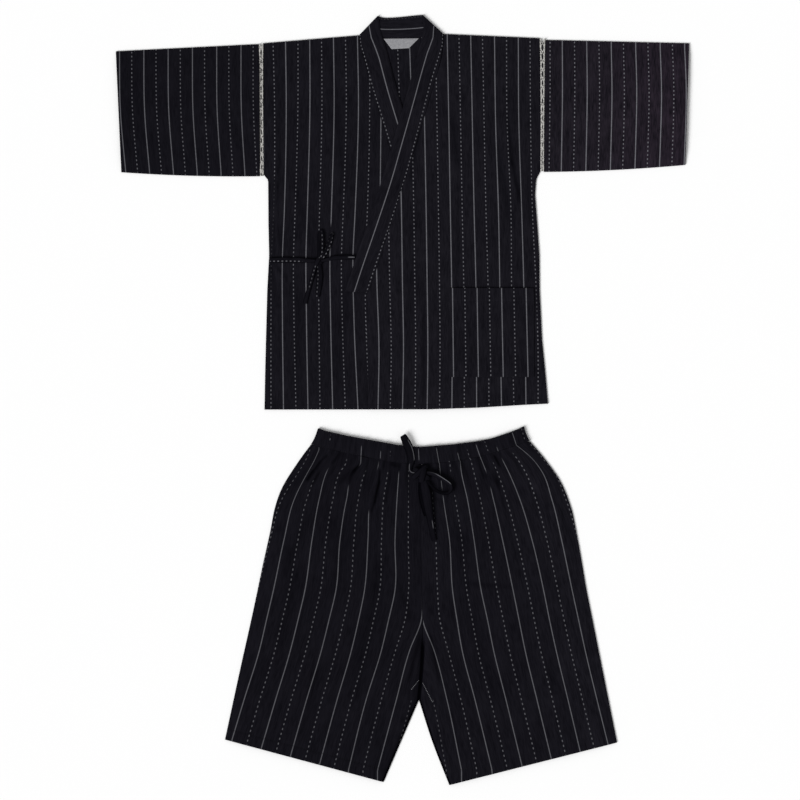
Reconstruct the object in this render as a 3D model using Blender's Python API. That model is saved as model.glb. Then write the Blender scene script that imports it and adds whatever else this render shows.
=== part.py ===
"""A jinbei set laid flat: a cross-over jacket above a pair of gathered drawstring shorts.

Metres. X runs to the right, Y up the garment and Z out of the surface that the set lies on, with
the origin under the middle of the set. Right and left are the wearer's, and the wearer's right
side lies at -X. Every piece that a maker cuts is one object.
"""
import math

import bmesh
import bpy

WALL = 0.001  # one layer of cloth
DOUBLE = 0.0018  # cloth folded over itself, as in the collar band
CASING = 0.002  # the waistband: two layers with the elastic between
SEAM = 0.0003  # air between pieces that are sewn to each other
WAIST_SEAM = 0.0009  # the same, along the curve of the waist
LAYER = 0.0006  # air between pieces that lie on each other
FIRST_LAYER = WALL + SEAM  # where the fronts start, above the back

CLOTH_COLOUR = (0.012, 0.011, 0.016, 1.0)
TRIM_COLOUR = (0.62, 0.58, 0.50, 1.0)
LABEL_COLOUR = (0.55, 0.55, 0.58, 1.0)
SHARP_ANGLE = math.radians(40)


class Table:
    """Rows of named columns, read between the rows by the place in the first column."""

    def __init__(self, names, *rows):
        self.names = names.split()
        self.rows = sorted(rows)

    def at(self, place, name):
        """Straight between the rows, and level beyond the ends."""
        column = self.names.index(name)
        rows = self.rows
        if place <= rows[0][0]:
            return rows[0][column]
        for low, high in zip(rows, rows[1:]):
            if place <= high[0]:
                share = (place - low[0]) / (high[0] - low[0])
                return lerp(low[column], high[column], share)
        return rows[-1][column]


# The jacket's side edges, down from the shoulder. They step in under the arms.
SIDES = Table(
    "y right left",
    (0.720, -0.2772, 0.2736),
    (0.650, -0.2778, 0.2748),
    (0.560, -0.2776, 0.2768),
    (0.458, -0.2772, 0.2758),
    (0.449, -0.2768, 0.2710),
    (0.440, -0.2686, 0.2670),
    (0.410, -0.2684, 0.2650),
    (0.350, -0.2680, 0.2695),
    (0.290, -0.2666, 0.2736),
    (0.220, -0.2704, 0.2742),
    (0.120, -0.2730, 0.2790),
    (0.060, -0.2745, 0.2850),
    (-0.020, -0.2760, 0.2920),
)
# The top of the fronts, and that of the back with its shallow neckline.
TOP = Table(
    "x front back",
    (-0.2772, 0.7132, 0.7132),
    (-0.0874, 0.7290, 0.7265),
    (-0.0450, 0.7270, 0.7240),
    (-0.0030, 0.7270, 0.7228),
    (0.0390, 0.7290, 0.7245),
    (0.0822, 0.7318, 0.7290),
    (0.2736, 0.7234, 0.7234),
)
HEM = Table(
    "x y",
    (-0.2760, -0.0192),
    (0.0510, -0.0188),
    (0.1502, -0.0154),
    (0.2466, -0.0096),
    (0.2914, -0.0074),
)
# The collar's two runs down the fronts, from the shoulder to the end of the band: where it is
# sewn on, its free edge, and how high its underside lies.
UNDER_RUN = (
    # seam x, seam y, free x, free y, z
    (-0.0834, 0.708, -0.0440, 0.738, 0.0024),
    (-0.0762, 0.684, -0.0350, 0.710, 0.0021),
    (-0.0676, 0.652, -0.0260, 0.676, 0.0016),
    (-0.0540, 0.604, -0.0120, 0.624, 0.0013),
    (-0.0300, 0.520, 0.0140, 0.538, 0.0013),
    (-0.0050, 0.440, 0.0390, 0.450, 0.0013),
    (0.0220, 0.356, 0.0660, 0.362, 0.0013),
    (0.0470, 0.278, 0.0930, 0.283, 0.0013),
    (0.0680, 0.215, 0.1160, 0.217, 0.0013),
)
OVER_RUN = (
    # seam x, seam y, free x, free y, z
    (0.0802, 0.708, 0.0422, 0.740, 0.0024),
    (0.0760, 0.680, 0.0354, 0.712, 0.0024),
    (0.0670, 0.646, 0.0262, 0.678, 0.0030),
    (0.0510, 0.592, 0.0104, 0.620, 0.0042),
    (0.0250, 0.504, -0.0178, 0.522, 0.0042),
    (0.0000, 0.428, -0.0420, 0.438, 0.0042),
    (-0.0260, 0.346, -0.0700, 0.352, 0.0042),
    (-0.0500, 0.268, -0.0970, 0.273, 0.0042),
    (-0.0690, 0.215, -0.1150, 0.217, 0.0042),
)
# The band lies folded over at each side of the neck, along these lines.
RIGHT_FOLD = ((-0.0874, 0.7290), (-0.0500, 0.7680))
LEFT_FOLD = ((0.0822, 0.7318), (0.0406, 0.7700))
FOLD_RADIUS = 0.0021
# Between the folds it stands up behind the neck and shows its inside.
BACK_NECK = (
    # seam x, seam y, free x, free y
    (-0.0450, 0.7248, -0.0350, 0.7640),
    (-0.0030, 0.7236, -0.0050, 0.7655),
    (0.0390, 0.7255, 0.0190, 0.7680),
)
# Where each front ends towards the middle: along the collar's seam, and then down its own edge.
FRONT_EDGES = Table(
    "y under over",
    (0.732, -0.0891, 0.0838),
    (0.729, -0.0887, 0.0834),
    (0.708, -0.0846, 0.0814),
    (0.684, -0.0774, 0.0780),
    (0.646, -0.0660, 0.0674),
    (0.592, -0.0510, 0.0514),
    (0.504, -0.0256, 0.0254),
    (0.428, -0.0018, 0.0004),
    (0.346, 0.0248, -0.0256),
    (0.268, 0.0498, -0.0496),
    (0.215, 0.0676, -0.0686),
    (0.200, 0.0680, -0.0720),
    (0.100, 0.0680, -0.0700),
    (-0.020, 0.0680, -0.0680),
)
# Rows of the jacket's panels, as shares of the way from the shoulder to the hem.
PANEL_ROWS = (
    0.0, 0.03, 0.065, 0.11, 0.19, 0.28, 0.362, 0.374, 0.388, 0.48, 0.615, 0.69, 0.78, 0.88, 0.95, 1.0
)
BACK_COLUMNS = (0.0, 0.12, 0.24, 0.344, 0.4214, 0.4977, 0.574, 0.6524, 0.77, 0.88, 1.0)
UNDER_COLUMNS = (0.0, 0.05, 0.14, 0.28, 0.42, 0.56, 0.70, 0.85, 1.0)
OVER_COLUMNS = (0.0, 0.10, 0.20, 0.32, 0.44, 0.56, 0.66, 0.72, 0.78, 0.84, 0.90, 0.95, 1.0)

SWELL = 0.0008  # how far the fronts rise and fall along their length
SWELL_WAVE = 0.17  # from one swell to the next
SWELL_SWAY = 1.4  # how far a swell leans from side to side, in radians
SWELL_SWAY_RATE = 0.6  # sways to a swell
SWELL_LIFT = 0.0003  # clear of the layer below
SETTLE = 0.05  # a swell dies out over this much cloth before a seam
CLIMB = 0.0029  # how far the outer front climbs over the inner one and its collar
CLIMB_RUN = 0.16  # over this much cloth from the side seam
CLIMB_DROP = 0.13  # and over this much from the shoulder
CREASE = ((0.215, 0.540), (0.233, 0.408))  # a soft fold under the wearer's left arm
CREASE_HEIGHT = 0.0020
CREASE_HALF_WIDTH = 0.018

POCKET_WIDTH, POCKET_HEIGHT = 0.170, 0.178
POCKET_CORNER = (0.0935, 0.0460)  # lower corner towards the middle
POCKET_CELLS = 5
LABEL_CORNERS = ((-0.0376, 0.7220), (0.0306, 0.7232), (0.0122, 0.7054), (-0.0222, 0.7012))
LABEL_WALL = 0.001

# Each sleeve's four corners: top and foot of the armhole, top and foot of the cuff.
RIGHT_SLEEVE = ((-0.2894, 0.7116), (-0.2846, 0.4474), (-0.5732, 0.6972), (-0.5622, 0.4554))
LEFT_SLEEVE = ((0.2856, 0.7200), (0.2834, 0.4560), (0.5732, 0.7132), (0.5655, 0.4700))
SLEEVE_LOFT = 0.0046
SLEEVE_SECTIONS = 7
SLEEVE_FRONT_COLUMNS, SLEEVE_BACK_COLUMNS = 8, 4
SLEEVE_SAG = 0.0030  # how far the lower edge hangs from the straight in the middle

# The openwork that joins sleeve to body: half widths and middles, down from the shoulder.
INSERT = Table(
    "y right_x right_half left_x left_half",
    (0.720, -0.2832, 0.0055, 0.2796, 0.0055),
    (0.650, -0.2828, 0.0045, 0.2800, 0.0046),
    (0.560, -0.2818, 0.0038, 0.2802, 0.0030),
    (0.445, -0.2808, 0.0032, 0.2796, 0.0033),
)
INSERT_TOP = {"right": 0.7122, "left": 0.7222}
INSERT_FOOT = {"right": 0.4482, "left": 0.4575}
INSERT_HOLES = 15  # 17 mm apart
HOLE_LENGTH = 0.0066
HOLE_SHARE = 0.36  # of the strip's width
INSERT_WALL = 0.0012
INSERT_FRONT_Z = 0.0022

# The two ties meet in a bow on the inner front. Routes are down the middle of each strip.
TIE_WALL = 0.0014
BOW_CENTRE = (-0.1690, 0.2775)
BOW_SIZE = (0.0155, 0.0140, 0.0065)
TIES = {
    # x, y, width
    "tie_side": (
        (-0.2650, 0.2800, 0.0120),
        (-0.2350, 0.2805, 0.0122),
        (-0.2050, 0.2800, 0.0118),
        (-0.1757, 0.2780, 0.0070),
    ),
    "tie_front": (
        (-0.1618, 0.2775, 0.0060),
        (-0.1380, 0.2840, 0.0090),
        (-0.1150, 0.2850, 0.0095),
        (-0.0960, 0.2850, 0.0095),
    ),
    "tie_loop_up": (
        (-0.1658, 0.2838, 0.0060),
        (-0.1640, 0.3050, 0.0095),
        (-0.1630, 0.3200, 0.0095),
        (-0.1625, 0.3340, 0.0080),
    ),
    "tie_loop_side": (
        (-0.1590, 0.2848, 0.0050),
        (-0.1520, 0.3000, 0.0085),
        (-0.1450, 0.3180, 0.0085),
        (-0.1395, 0.3330, 0.0065),
    ),
    "tie_tail_side": (
        (-0.1728, 0.2717, 0.0050),
        (-0.1795, 0.2520, 0.0080),
        (-0.1868, 0.2250, 0.0085),
        (-0.1945, 0.1910, 0.0070),
    ),
    "tie_tail_down": (
        (-0.1660, 0.2715, 0.0070),
        (-0.1650, 0.2500, 0.0120),
        (-0.1670, 0.2280, 0.0120),
        (-0.1690, 0.2070, 0.0065),
    ),
}
STRIP_CUTS = 3  # sections between two points of a route

# The shorts, from hem to waist seam: the outer edge, the edge towards the other leg, the loft of
# the front over the back, the height of the gathers, and how far the row follows the waist seam.
LEG_ROWS = "out_x out_y in_x in_y loft gather bend"
RIGHT_LEG = (
    (-0.3550, -0.6790, -0.0380, -0.7640, 0.0046, 0.0, 0.0),
    (-0.3380, -0.6000, -0.0020, -0.6800, 0.0046, 0.0, 0.0),
    (-0.3210, -0.5220, 0.0330, -0.5990, 0.0046, 0.0, 0.0),
    (-0.3040, -0.4460, 0.0368, -0.5200, 0.0046, 0.0, 0.0),
    (-0.2920, -0.3900, 0.0368, -0.4600, 0.0044, 0.0, 0.1),
    (-0.2790, -0.3280, 0.0368, -0.3900, 0.0042, 0.0, 0.2),
    (-0.2650, -0.2650, 0.0368, -0.3100, 0.0040, 0.0005, 0.4),
    (-0.2550, -0.2150, 0.0368, -0.2350, 0.0034, 0.0016, 0.6),
    (-0.2390, -0.1720, 0.0368, -0.1900, 0.0030, 0.0026, 0.8),
    (-0.2080, -0.1230, 0.0368, -0.1560, 0.0030, 0.0030, 0.9),
    (-0.1830, -0.0890, 0.0368, -0.1290, 0.0030, 0.0028, 1.0),
)
LEFT_LEG = (
    (0.4290, -0.6850, 0.0936, -0.7700, 0.0046, 0.0, 0.0),
    (0.4120, -0.6000, 0.0600, -0.6840, 0.0046, 0.0, 0.0),
    (0.3960, -0.5200, 0.0372, -0.5990, 0.0046, 0.0, 0.0),
    (0.3790, -0.4350, 0.0372, -0.5200, 0.0046, 0.0, 0.0),
    (0.3680, -0.3800, 0.0372, -0.4600, 0.0044, 0.0, 0.1),
    (0.3570, -0.3150, 0.0372, -0.3900, 0.0042, 0.0, 0.2),
    (0.3460, -0.2550, 0.0372, -0.3100, 0.0040, 0.0005, 0.4),
    (0.3370, -0.2150, 0.0372, -0.2350, 0.0034, 0.0016, 0.6),
    (0.3170, -0.1650, 0.0372, -0.1900, 0.0030, 0.0026, 0.8),
    (0.2860, -0.1200, 0.0372, -0.1560, 0.0030, 0.0030, 0.9),
    (0.2550, -0.0830, 0.0372, -0.1290, 0.0030, 0.0028, 1.0),
)
CROTCH_ROW = 4  # the legs are tubes up to this row, and open to each other above it
FINE_ROW = 6  # the gathers are cut from this row up
CENTRE_SEAM = 0.0370
# The waistband's lower and upper edges.
WAIST = Table(
    "x seam top",
    (-0.1830, -0.0880, -0.0640),
    (-0.1700, -0.0930, -0.0556),
    (-0.1560, -0.0965, -0.0610),
    (-0.1100, -0.1070, -0.0715),
    (-0.0520, -0.1190, -0.0820),
    (-0.0050, -0.1260, -0.0905),
    (0.0370, -0.1285, -0.0938),
    (0.1020, -0.1235, -0.0885),
    (0.1470, -0.1150, -0.0828),
    (0.1740, -0.1080, -0.0780),
    (0.2090, -0.0970, -0.0665),
    (0.2330, -0.0890, -0.0575),
    (0.2420, -0.0860, -0.0525),
    (0.2550, -0.0820, -0.0640),
)
WAIST_LOFT = 0.0052
WAIST_RISE = 0.0020
WAIST_BACK_COLUMNS = 16
# Up the waistband, and how full the gathers are there.
WAIST_LEVELS = ((0.0, 1.0), (0.33, 0.6), (0.75, 0.7), (1.0, 0.9))
GATHERS = 10  # on the front of each leg
GATHER_CUTS = 4  # columns in each gather
GATHER_DEPTHS = (0.5, 1.0, 0.7, 1.0, 0.55, 0.9, 1.0, 0.6, 0.85, 0.45)
GATHER_DRIFT = 0.008  # how unevenly they lie, as a share of the half waist
PLAIN_FRONT_COLUMNS = 10
BACK_COLUMN_COUNT = 6
FOLD_CUTS = 2  # in each quarter turn at an edge

STRING_WALL = 0.0016
KNOT_CENTRE = (0.0385, -0.1470, 0.0118)
KNOT_SIZE = (0.0240, 0.0300, 0.0090)
# Routes of the drawstring's limbs: x, y, z, width, tilt in degrees.
STRING_LIMBS = {
    "string_loop_up": (
        (0.0262, -0.1425, 0.0100, 0.0060, 20),
        (0.0185, -0.1425, 0.0092, 0.0062, 25),
        (0.0150, -0.1350, 0.0086, 0.0080, 15),
        (0.0165, -0.1240, 0.0083, 0.0125, 4),
        (0.0135, -0.1080, 0.0080, 0.0155, 3),
        (0.0095, -0.0880, 0.0080, 0.0165, 3),
        (0.0058, -0.0735, 0.0083, 0.0155, 6),
    ),
    "string_loop_right": (
        (0.0530, -0.1450, 0.0125, 0.0080, 30),
        (0.0650, -0.1460, 0.0125, 0.0090, 35),
        (0.0800, -0.1560, 0.0122, 0.0100, 40),
        (0.0960, -0.1700, 0.0118, 0.0100, 55),
        (0.0960, -0.1860, 0.0112, 0.0090, 60),
        (0.0800, -0.1860, 0.0108, 0.0090, 60),
        (0.0640, -0.1760, 0.0108, 0.0080, 55),
        (0.0530, -0.1640, 0.0108, 0.0070, 45),
    ),
    "string_tail_long": (
        (0.0420, -0.1645, 0.0100, 0.0150, 0),
        (0.0460, -0.1850, 0.0095, 0.0180, 2),
        (0.0500, -0.2100, 0.0088, 0.0170, 2),
        (0.0560, -0.2350, 0.0080, 0.0150, 0),
        (0.0610, -0.2600, 0.0070, 0.0130, 0),
        (0.0655, -0.2820, 0.0064, 0.0110, 0),
    ),
    "string_tail_short": (
        (0.0385, -0.1650, 0.0074, 0.0120, 0),
        (0.0395, -0.1850, 0.0070, 0.0150, 0),
        (0.0430, -0.2080, 0.0064, 0.0150, 0),
        (0.0490, -0.2300, 0.0057, 0.0130, 0),
    ),
}


def lerp(low, high, share):
    return low + (high - low) * share


def smooth(share):
    share = min(max(share, 0.0), 1.0)
    return share * share * (3.0 - 2.0 * share)


def through(points, share):
    """A place on the smooth curve through points, share of the way from the first to the last."""
    along = share * (len(points) - 1)
    start = min(int(along), len(points) - 2)
    step = along - start
    before, first, second, after = (
        points[min(max(start + offset, 0), len(points) - 1)] for offset in (-1, 0, 1, 2)
    )
    place = []
    for a, b, c, d in zip(before, first, second, after):
        square, cube = (2 * a - 5 * b + 4 * c - d) * step**2, (3 * b - a - 3 * c + d) * step**3
        place.append(0.5 * (2 * b + (c - a) * step + square + cube))
    return tuple(place)


def clear_scene():
    for old in list(bpy.data.objects):
        bpy.data.objects.remove(old, do_unlink=True)


def finish(name, colour, roughness):
    material = bpy.data.materials.new(name)
    material.use_nodes = True
    shader = material.node_tree.nodes["Principled BSDF"]
    shader.inputs["Base Color"].default_value = colour
    shader.inputs["Roughness"].default_value = roughness
    shader.inputs["Metallic"].default_value = 0.0
    material.diffuse_color = colour
    return material


def add_piece(name, points, faces, material):
    """One closed body from its points and faces, with the faces turned outwards."""
    mesh = bpy.data.meshes.new(name)
    mesh.from_pydata(points, [], faces)
    shape = bmesh.new()
    shape.from_mesh(mesh)
    bmesh.ops.recalc_face_normals(shape, faces=shape.faces)
    shape.to_mesh(mesh)
    shape.free()
    mesh.shade_smooth()
    mesh.set_sharp_from_angle(angle=SHARP_ANGLE)
    mesh.materials.append(material)
    piece = bpy.data.objects.new(name, mesh)
    bpy.context.scene.collection.objects.link(piece)
    return piece


def slab(name, rows, wall, material):
    """A sheet whose underside is the grid of points in rows."""
    width = len(rows[0])
    under = [point for row in rows for point in row]
    points = under + [(x, y, z + wall) for x, y, z in under]
    over = len(under)
    faces = []
    for row in range(len(rows) - 1):
        for column in range(width - 1):
            first = row * width + column
            cell = (first, first + 1, first + width + 1, first + width)
            faces.append(cell)
            faces.append(tuple(over + corner for corner in reversed(cell)))
    last = (len(rows) - 1) * width
    rim = list(range(width)) + [row * width + width - 1 for row in range(1, len(rows))]
    rim += list(range(last + width - 2, last - 1, -1))
    rim += [row * width for row in range(len(rows) - 2, 0, -1)]
    for here, after in zip(rim, rim[1:] + rim[:1]):
        faces.append((here, after, over + after, over + here))
    return add_piece(name, points, faces, material)


def loft(name, sections, material):
    """A closed body through sections that each hold the same number of points."""
    size = len(sections[0])
    points = [point for section in sections for point in section]
    faces = [tuple(range(size)), tuple(range(len(points) - size, len(points)))]
    for start in range(0, len(points) - size, size):
        for corner in range(size):
            after = (corner + 1) % size
            faces.append((start + corner, start + after, start + size + after, start + size + corner))
    return add_piece(name, points, faces, material)


def swell(x, y):
    """From 0 to 1, in long soft waves that lean with the length of the cloth."""
    turn = 2.0 * math.pi / SWELL_WAVE
    return 0.5 + 0.5 * math.sin(turn * x + SWELL_SWAY * math.sin(SWELL_SWAY_RATE * turn * y))


def under_height(x, y):
    """The underside of the inner front."""
    from_side = smooth((x - SIDES.at(y, "right")) / SETTLE)
    from_top = smooth((TOP.at(x, "front") - y) / SETTLE)
    return FIRST_LAYER + from_side * from_top * (SWELL_LIFT + SWELL * swell(x, y))


def over_height(x, y):
    """The underside of the outer front, which climbs from its side seam over the inner front."""
    from_side = smooth((SIDES.at(y, "left") - x) / CLIMB_RUN)
    from_top = smooth((TOP.at(x, "front") - y) / CLIMB_DROP)
    (top_x, top_y), (foot_x, foot_y) = CREASE
    along = min(max((top_y - y) / (top_y - foot_y), -0.4), 1.4)
    off = (x - lerp(top_x, foot_x, along)) / CREASE_HALF_WIDTH
    fade = smooth(1.6 - 1.6 * abs(along - 0.5))
    crease = CREASE_HEIGHT * fade * math.exp(-off * off)
    return FIRST_LAYER + CLIMB * from_side * from_top + crease


def panel_rows(columns, top, inner, outer, height):
    """A jacket panel's underside, from its edge called inner to its edge called outer."""
    rows = []
    for down in PANEL_ROWS:
        row = []
        for across in columns:
            x = lerp(inner(0.7), outer(0.7), across)
            for _ in range(3):
                y = lerp(TOP.at(x, top), HEM.at(x, "y"), down)
                x = lerp(inner(y), outer(y), across)
            row.append((x, y, height(x, y)))
        rows.append(row)
    return rows


def build_body(cloth):
    def right_side(y):
        return SIDES.at(y, "right")

    def left_side(y):
        return SIDES.at(y, "left")

    def under_edge(y):
        return FRONT_EDGES.at(y, "under")

    def over_edge(y):
        return FRONT_EDGES.at(y, "over")

    back = panel_rows(BACK_COLUMNS, "back", right_side, left_side, lambda x, y: 0.0)
    slab("jacket_back", back, WALL, cloth)
    slab("front_under", panel_rows(UNDER_COLUMNS, "front", right_side, under_edge, under_height), WALL, cloth)
    slab("front_over", panel_rows(OVER_COLUMNS, "front", over_edge, left_side, over_height), WALL, cloth)


def build_pocket(cloth):
    rows = []
    for up in range(POCKET_CELLS + 1):
        y = POCKET_CORNER[1] + POCKET_HEIGHT * up / POCKET_CELLS
        row = []
        for across in range(POCKET_CELLS + 1):
            x = POCKET_CORNER[0] + POCKET_WIDTH * across / POCKET_CELLS
            row.append((x, y, over_height(x, y) + WALL + LAYER))
        rows.append(row)
    slab("pocket", rows, WALL, cloth)


def run_section(seam_x, seam_y, free_x, free_y, z):
    """The band where it lies face up on a front: its outer face is on top."""
    middle = (0.5 * (seam_x + free_x), 0.5 * (seam_y + free_y))
    line = ((seam_x, seam_y), middle, (free_x, free_y))
    return [(x, y, z + DOUBLE) for x, y in line] + [(x, y, z) for x, y in reversed(line)]


def fold_sections(fold, outwards):
    """The band turning over at the side of the neck, from the run above to the neck below."""
    (seam_x, seam_y), (free_x, free_y) = fold
    length = math.hypot(free_x - seam_x, free_y - seam_y)
    out = (-outwards * (free_y - seam_y) / length, outwards * (free_x - seam_x) / length)
    middle = (0.5 * (seam_x + free_x), 0.5 * (seam_y + free_y))
    sections = []
    for degrees in (90, 45, 0, -45, -90):
        reach, rise = math.cos(math.radians(degrees)), math.sin(math.radians(degrees))
        section = []
        for radius, line in (
            (FOLD_RADIUS, (fold[0], middle, fold[1])),
            (FOLD_RADIUS - DOUBLE, (fold[1], middle, fold[0])),
        ):
            shift = radius * reach - FOLD_RADIUS
            for x, y in line:
                section.append((x + out[0] * shift, y + out[1] * shift, FOLD_RADIUS + radius * rise))
        sections.append(section)
    return sections


def build_collar(cloth):
    """One strip, folded double: up the inner front, round the neck and down the outer front."""
    neck = []
    for seam_x, seam_y, free_x, free_y in BACK_NECK:
        middle = (0.5 * (seam_x + free_x), 0.5 * (seam_y + free_y))
        line = ((seam_x, seam_y), middle, (free_x, free_y))
        neck.append([(x, y, 0.0) for x, y in line] + [(x, y, DOUBLE) for x, y in reversed(line)])
    sections = [run_section(*row) for row in reversed(UNDER_RUN)]
    sections += fold_sections(RIGHT_FOLD, 1)
    sections += neck
    sections += reversed(fold_sections(LEFT_FOLD, -1))
    sections += [run_section(*row) for row in OVER_RUN]
    loft("collar", sections, cloth)


def build_label(label):
    (left_top, right_top, right_foot, left_foot) = LABEL_CORNERS
    rows = []
    for down in (0.0, 0.5, 1.0):
        ends = [
            (lerp(top[0], foot[0], down), lerp(top[1], foot[1], down))
            for top, foot in ((left_top, left_foot), (right_top, right_foot))
        ]
        rows.append([
            (lerp(ends[0][0], ends[1][0], across), lerp(ends[0][1], ends[1][1], across), FIRST_LAYER)
            for across in (0.0, 0.5, 1.0)
        ])
    slab("neck_label", rows, LABEL_WALL, label)


def edge_turn(first, last):
    """Angles of a turned edge, without its two ends."""
    count = 2 * FOLD_CUTS
    return [lerp(first, last, step / count) for step in range(1, count)]


def flat_ring(line, wide, thick, wall, front, back, rise, is_open):
    """One section of a tube that lies flat: from the middle of its near edge across the front,
    round the far edge and home across the underside. line gives the place across the piece for a
    distance from the near edge. The answer is a list of (place round the ring, outer, inner).
    """
    radius = 0.5 * thick
    hollow = radius - wall
    ring = []

    def add(place, distance, outer_z, inner_distance, inner_z):
        ring.append((place, (*line(distance), outer_z), (*line(inner_distance), inner_z)))

    def turn(place, centre, degrees):
        reach, lift = math.cos(math.radians(degrees)), math.sin(math.radians(degrees))
        outer = (centre + radius * reach, radius + radius * lift)
        inner = (centre + hollow * reach, radius + hollow * lift)
        add(place, *outer, *inner)

    near_turns = (180.0, 135.0)
    for index, degrees in enumerate(near_turns):
        if is_open:
            at = radius * index / len(near_turns)
            add(0.01 * index, at, thick, at, thick - wall)
        else:
            turn(0.01 * index, radius, degrees)
    for share in front:
        at = radius + (wide - 2 * radius) * share
        z = thick + rise(share)
        add(0.02 + 0.46 * share, at, z, at, z - wall)
    angles = edge_turn(90.0, -90.0)
    for index, degrees in enumerate(angles):
        turn(0.48 + 0.04 * (index + 1) / (len(angles) + 1), wide - radius, degrees)
    for share in reversed(back):
        at = radius + (wide - 2 * radius) * share
        add(0.52 + 0.46 * (1.0 - share), at, 0.0, at, wall)
    if is_open:
        add(0.99, 0.5 * radius, 0.0, 0.5 * radius, wall)
        add(1.0, 0.0, 0.0, 0.0, wall)
    else:
        turn(0.99, radius, 225.0)
        ring.append((1.0, ring[0][1], ring[0][2]))
    return ring


def tube(name, rings, slit_from, material):
    """A walled tube through rings. From the ring numbered slit_from on, it is open along its near
    edge. Neighbouring rings may hold different numbers of points.
    """
    points = []
    numbered = []
    for number, ring in enumerate(rings):
        outer, inner = [], []
        for place, outside, inside in ring:
            if place == 1.0 and number <= slit_from:
                outer.append(outer[0])
                inner.append(inner[0])
                continue
            outer.append(len(points))
            inner.append(len(points) + 1)
            points += [outside, inside]
        numbered.append(([place for place, _, _ in ring], outer, inner))
    faces = []
    for (low_places, *low_rings), (high_places, *high_rings) in zip(numbered, numbered[1:]):
        for low, high in zip(low_rings, high_rings):
            faces += bridge(low_places, low, high_places, high)
    for _, outer, inner in (numbered[0], numbered[-1]):
        for step in range(len(outer) - 1):
            faces.append((outer[step], outer[step + 1], inner[step + 1], inner[step]))
    split = numbered[slit_from:]
    for (_, low_outer, low_inner), (_, high_outer, high_inner) in zip(split, split[1:]):
        for end in (0, -1):
            faces.append((low_outer[end], high_outer[end], high_inner[end], low_inner[end]))
    return add_piece(name, points, faces, material)


def bridge(low_places, low, high_places, high):
    """Faces between two rows of points, by their places along the row."""
    faces = []
    at_low = at_high = 0
    while at_low < len(low) - 1 or at_high < len(high) - 1:
        next_low = low_places[at_low + 1] if at_low < len(low) - 1 else 2.0
        next_high = high_places[at_high + 1] if at_high < len(high) - 1 else 2.0
        if abs(next_low - next_high) < 1e-6:
            faces.append((low[at_low], low[at_low + 1], high[at_high + 1], high[at_high]))
            at_low += 1
            at_high += 1
        elif next_low < next_high:
            faces.append((low[at_low], low[at_low + 1], high[at_high]))
            at_low += 1
        else:
            faces.append((low[at_low], high[at_high + 1], high[at_high]))
            at_high += 1
    return faces


def shares(count):
    return [step / count for step in range(count + 1)]


def build_sleeve(name, corners, cloth):
    (top_x, top_y), (foot_x, foot_y), (cuff_top_x, cuff_top_y), (cuff_foot_x, cuff_foot_y) = corners
    rings = []
    for section in range(SLEEVE_SECTIONS + 1):
        out = section / SLEEVE_SECTIONS
        sag = SLEEVE_SAG * 4.0 * out * (1.0 - out)
        top = (lerp(top_x, cuff_top_x, out), lerp(top_y, cuff_top_y, out))
        foot = (lerp(foot_x, cuff_foot_x, out), lerp(foot_y, cuff_foot_y, out) - sag)
        wide = math.hypot(top[0] - foot[0], top[1] - foot[1])

        def line(distance, top=top, foot=foot, wide=wide):
            share = distance / wide
            return lerp(foot[0], top[0], share), lerp(foot[1], top[1], share)

        def rise(share, top=top, foot=foot):
            across = smooth(4.0 * share) * smooth(4.0 * (1.0 - share))
            x, y = lerp(foot[0], top[0], share), lerp(foot[1], top[1], share)
            return SWELL * across * swell(x, 1.3 * y)

        front, back = shares(SLEEVE_FRONT_COLUMNS), shares(SLEEVE_BACK_COLUMNS)
        rings.append(flat_ring(line, wide, SLEEVE_LOFT, WALL, front, back, rise, False))
    tube(name, rings, len(rings), cloth)


def build_insert(name, side, z, trim):
    """A strip of openwork with a row of holes down its middle."""
    pitch = (INSERT_TOP[side] - INSERT_FOOT[side]) / INSERT_HOLES
    points, faces = [], []

    def edge(y, share):
        middle = INSERT.at(y, side + "_x")
        half = INSERT.at(y, side + "_half")
        return middle + share * half, y

    for number in range(INSERT_HOLES + 1):
        y = INSERT_TOP[side] - pitch * number
        points += [edge(y, -1.0), edge(y, 1.0)]
        if number < INSERT_HOLES:
            middle = y - 0.5 * pitch
            points += [edge(middle, -1.0), edge(middle, 1.0)]
            points += [edge(middle + 0.5 * HOLE_LENGTH, 0.0), edge(middle, HOLE_SHARE)]
            points += [edge(middle - 0.5 * HOLE_LENGTH, 0.0), edge(middle, -HOLE_SHARE)]
    layer = len(points)
    for number in range(INSERT_HOLES):
        start = 8 * number
        top_a, top_b, side_a, side_b, up, right, down, left, foot_a, foot_b = range(start, start + 10)
        cells = (
            (top_a, top_b, up), (top_b, side_b, right, up), (top_a, up, left, side_a),
            (side_a, left, down, foot_a), (side_b, foot_b, down, right), (foot_a, down, foot_b),
        )
        for cell in cells:
            faces.append(cell)
            faces.append(tuple(layer + corner for corner in reversed(cell)))
        rims = (
            (up, right), (right, down), (down, left), (left, up),
            (top_a, side_a), (side_a, foot_a), (top_b, side_b), (side_b, foot_b),
        )
        for here, after in rims:
            faces.append((here, after, layer + after, layer + here))
    last = layer - 2
    for here, after in ((0, 1), (last, last + 1)):
        faces.append((here, after, layer + after, layer + here))
    solid = [(x, y, z) for x, y in points] + [(x, y, z + INSERT_WALL) for x, y in points]
    add_piece(name, solid, faces, trim)


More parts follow.
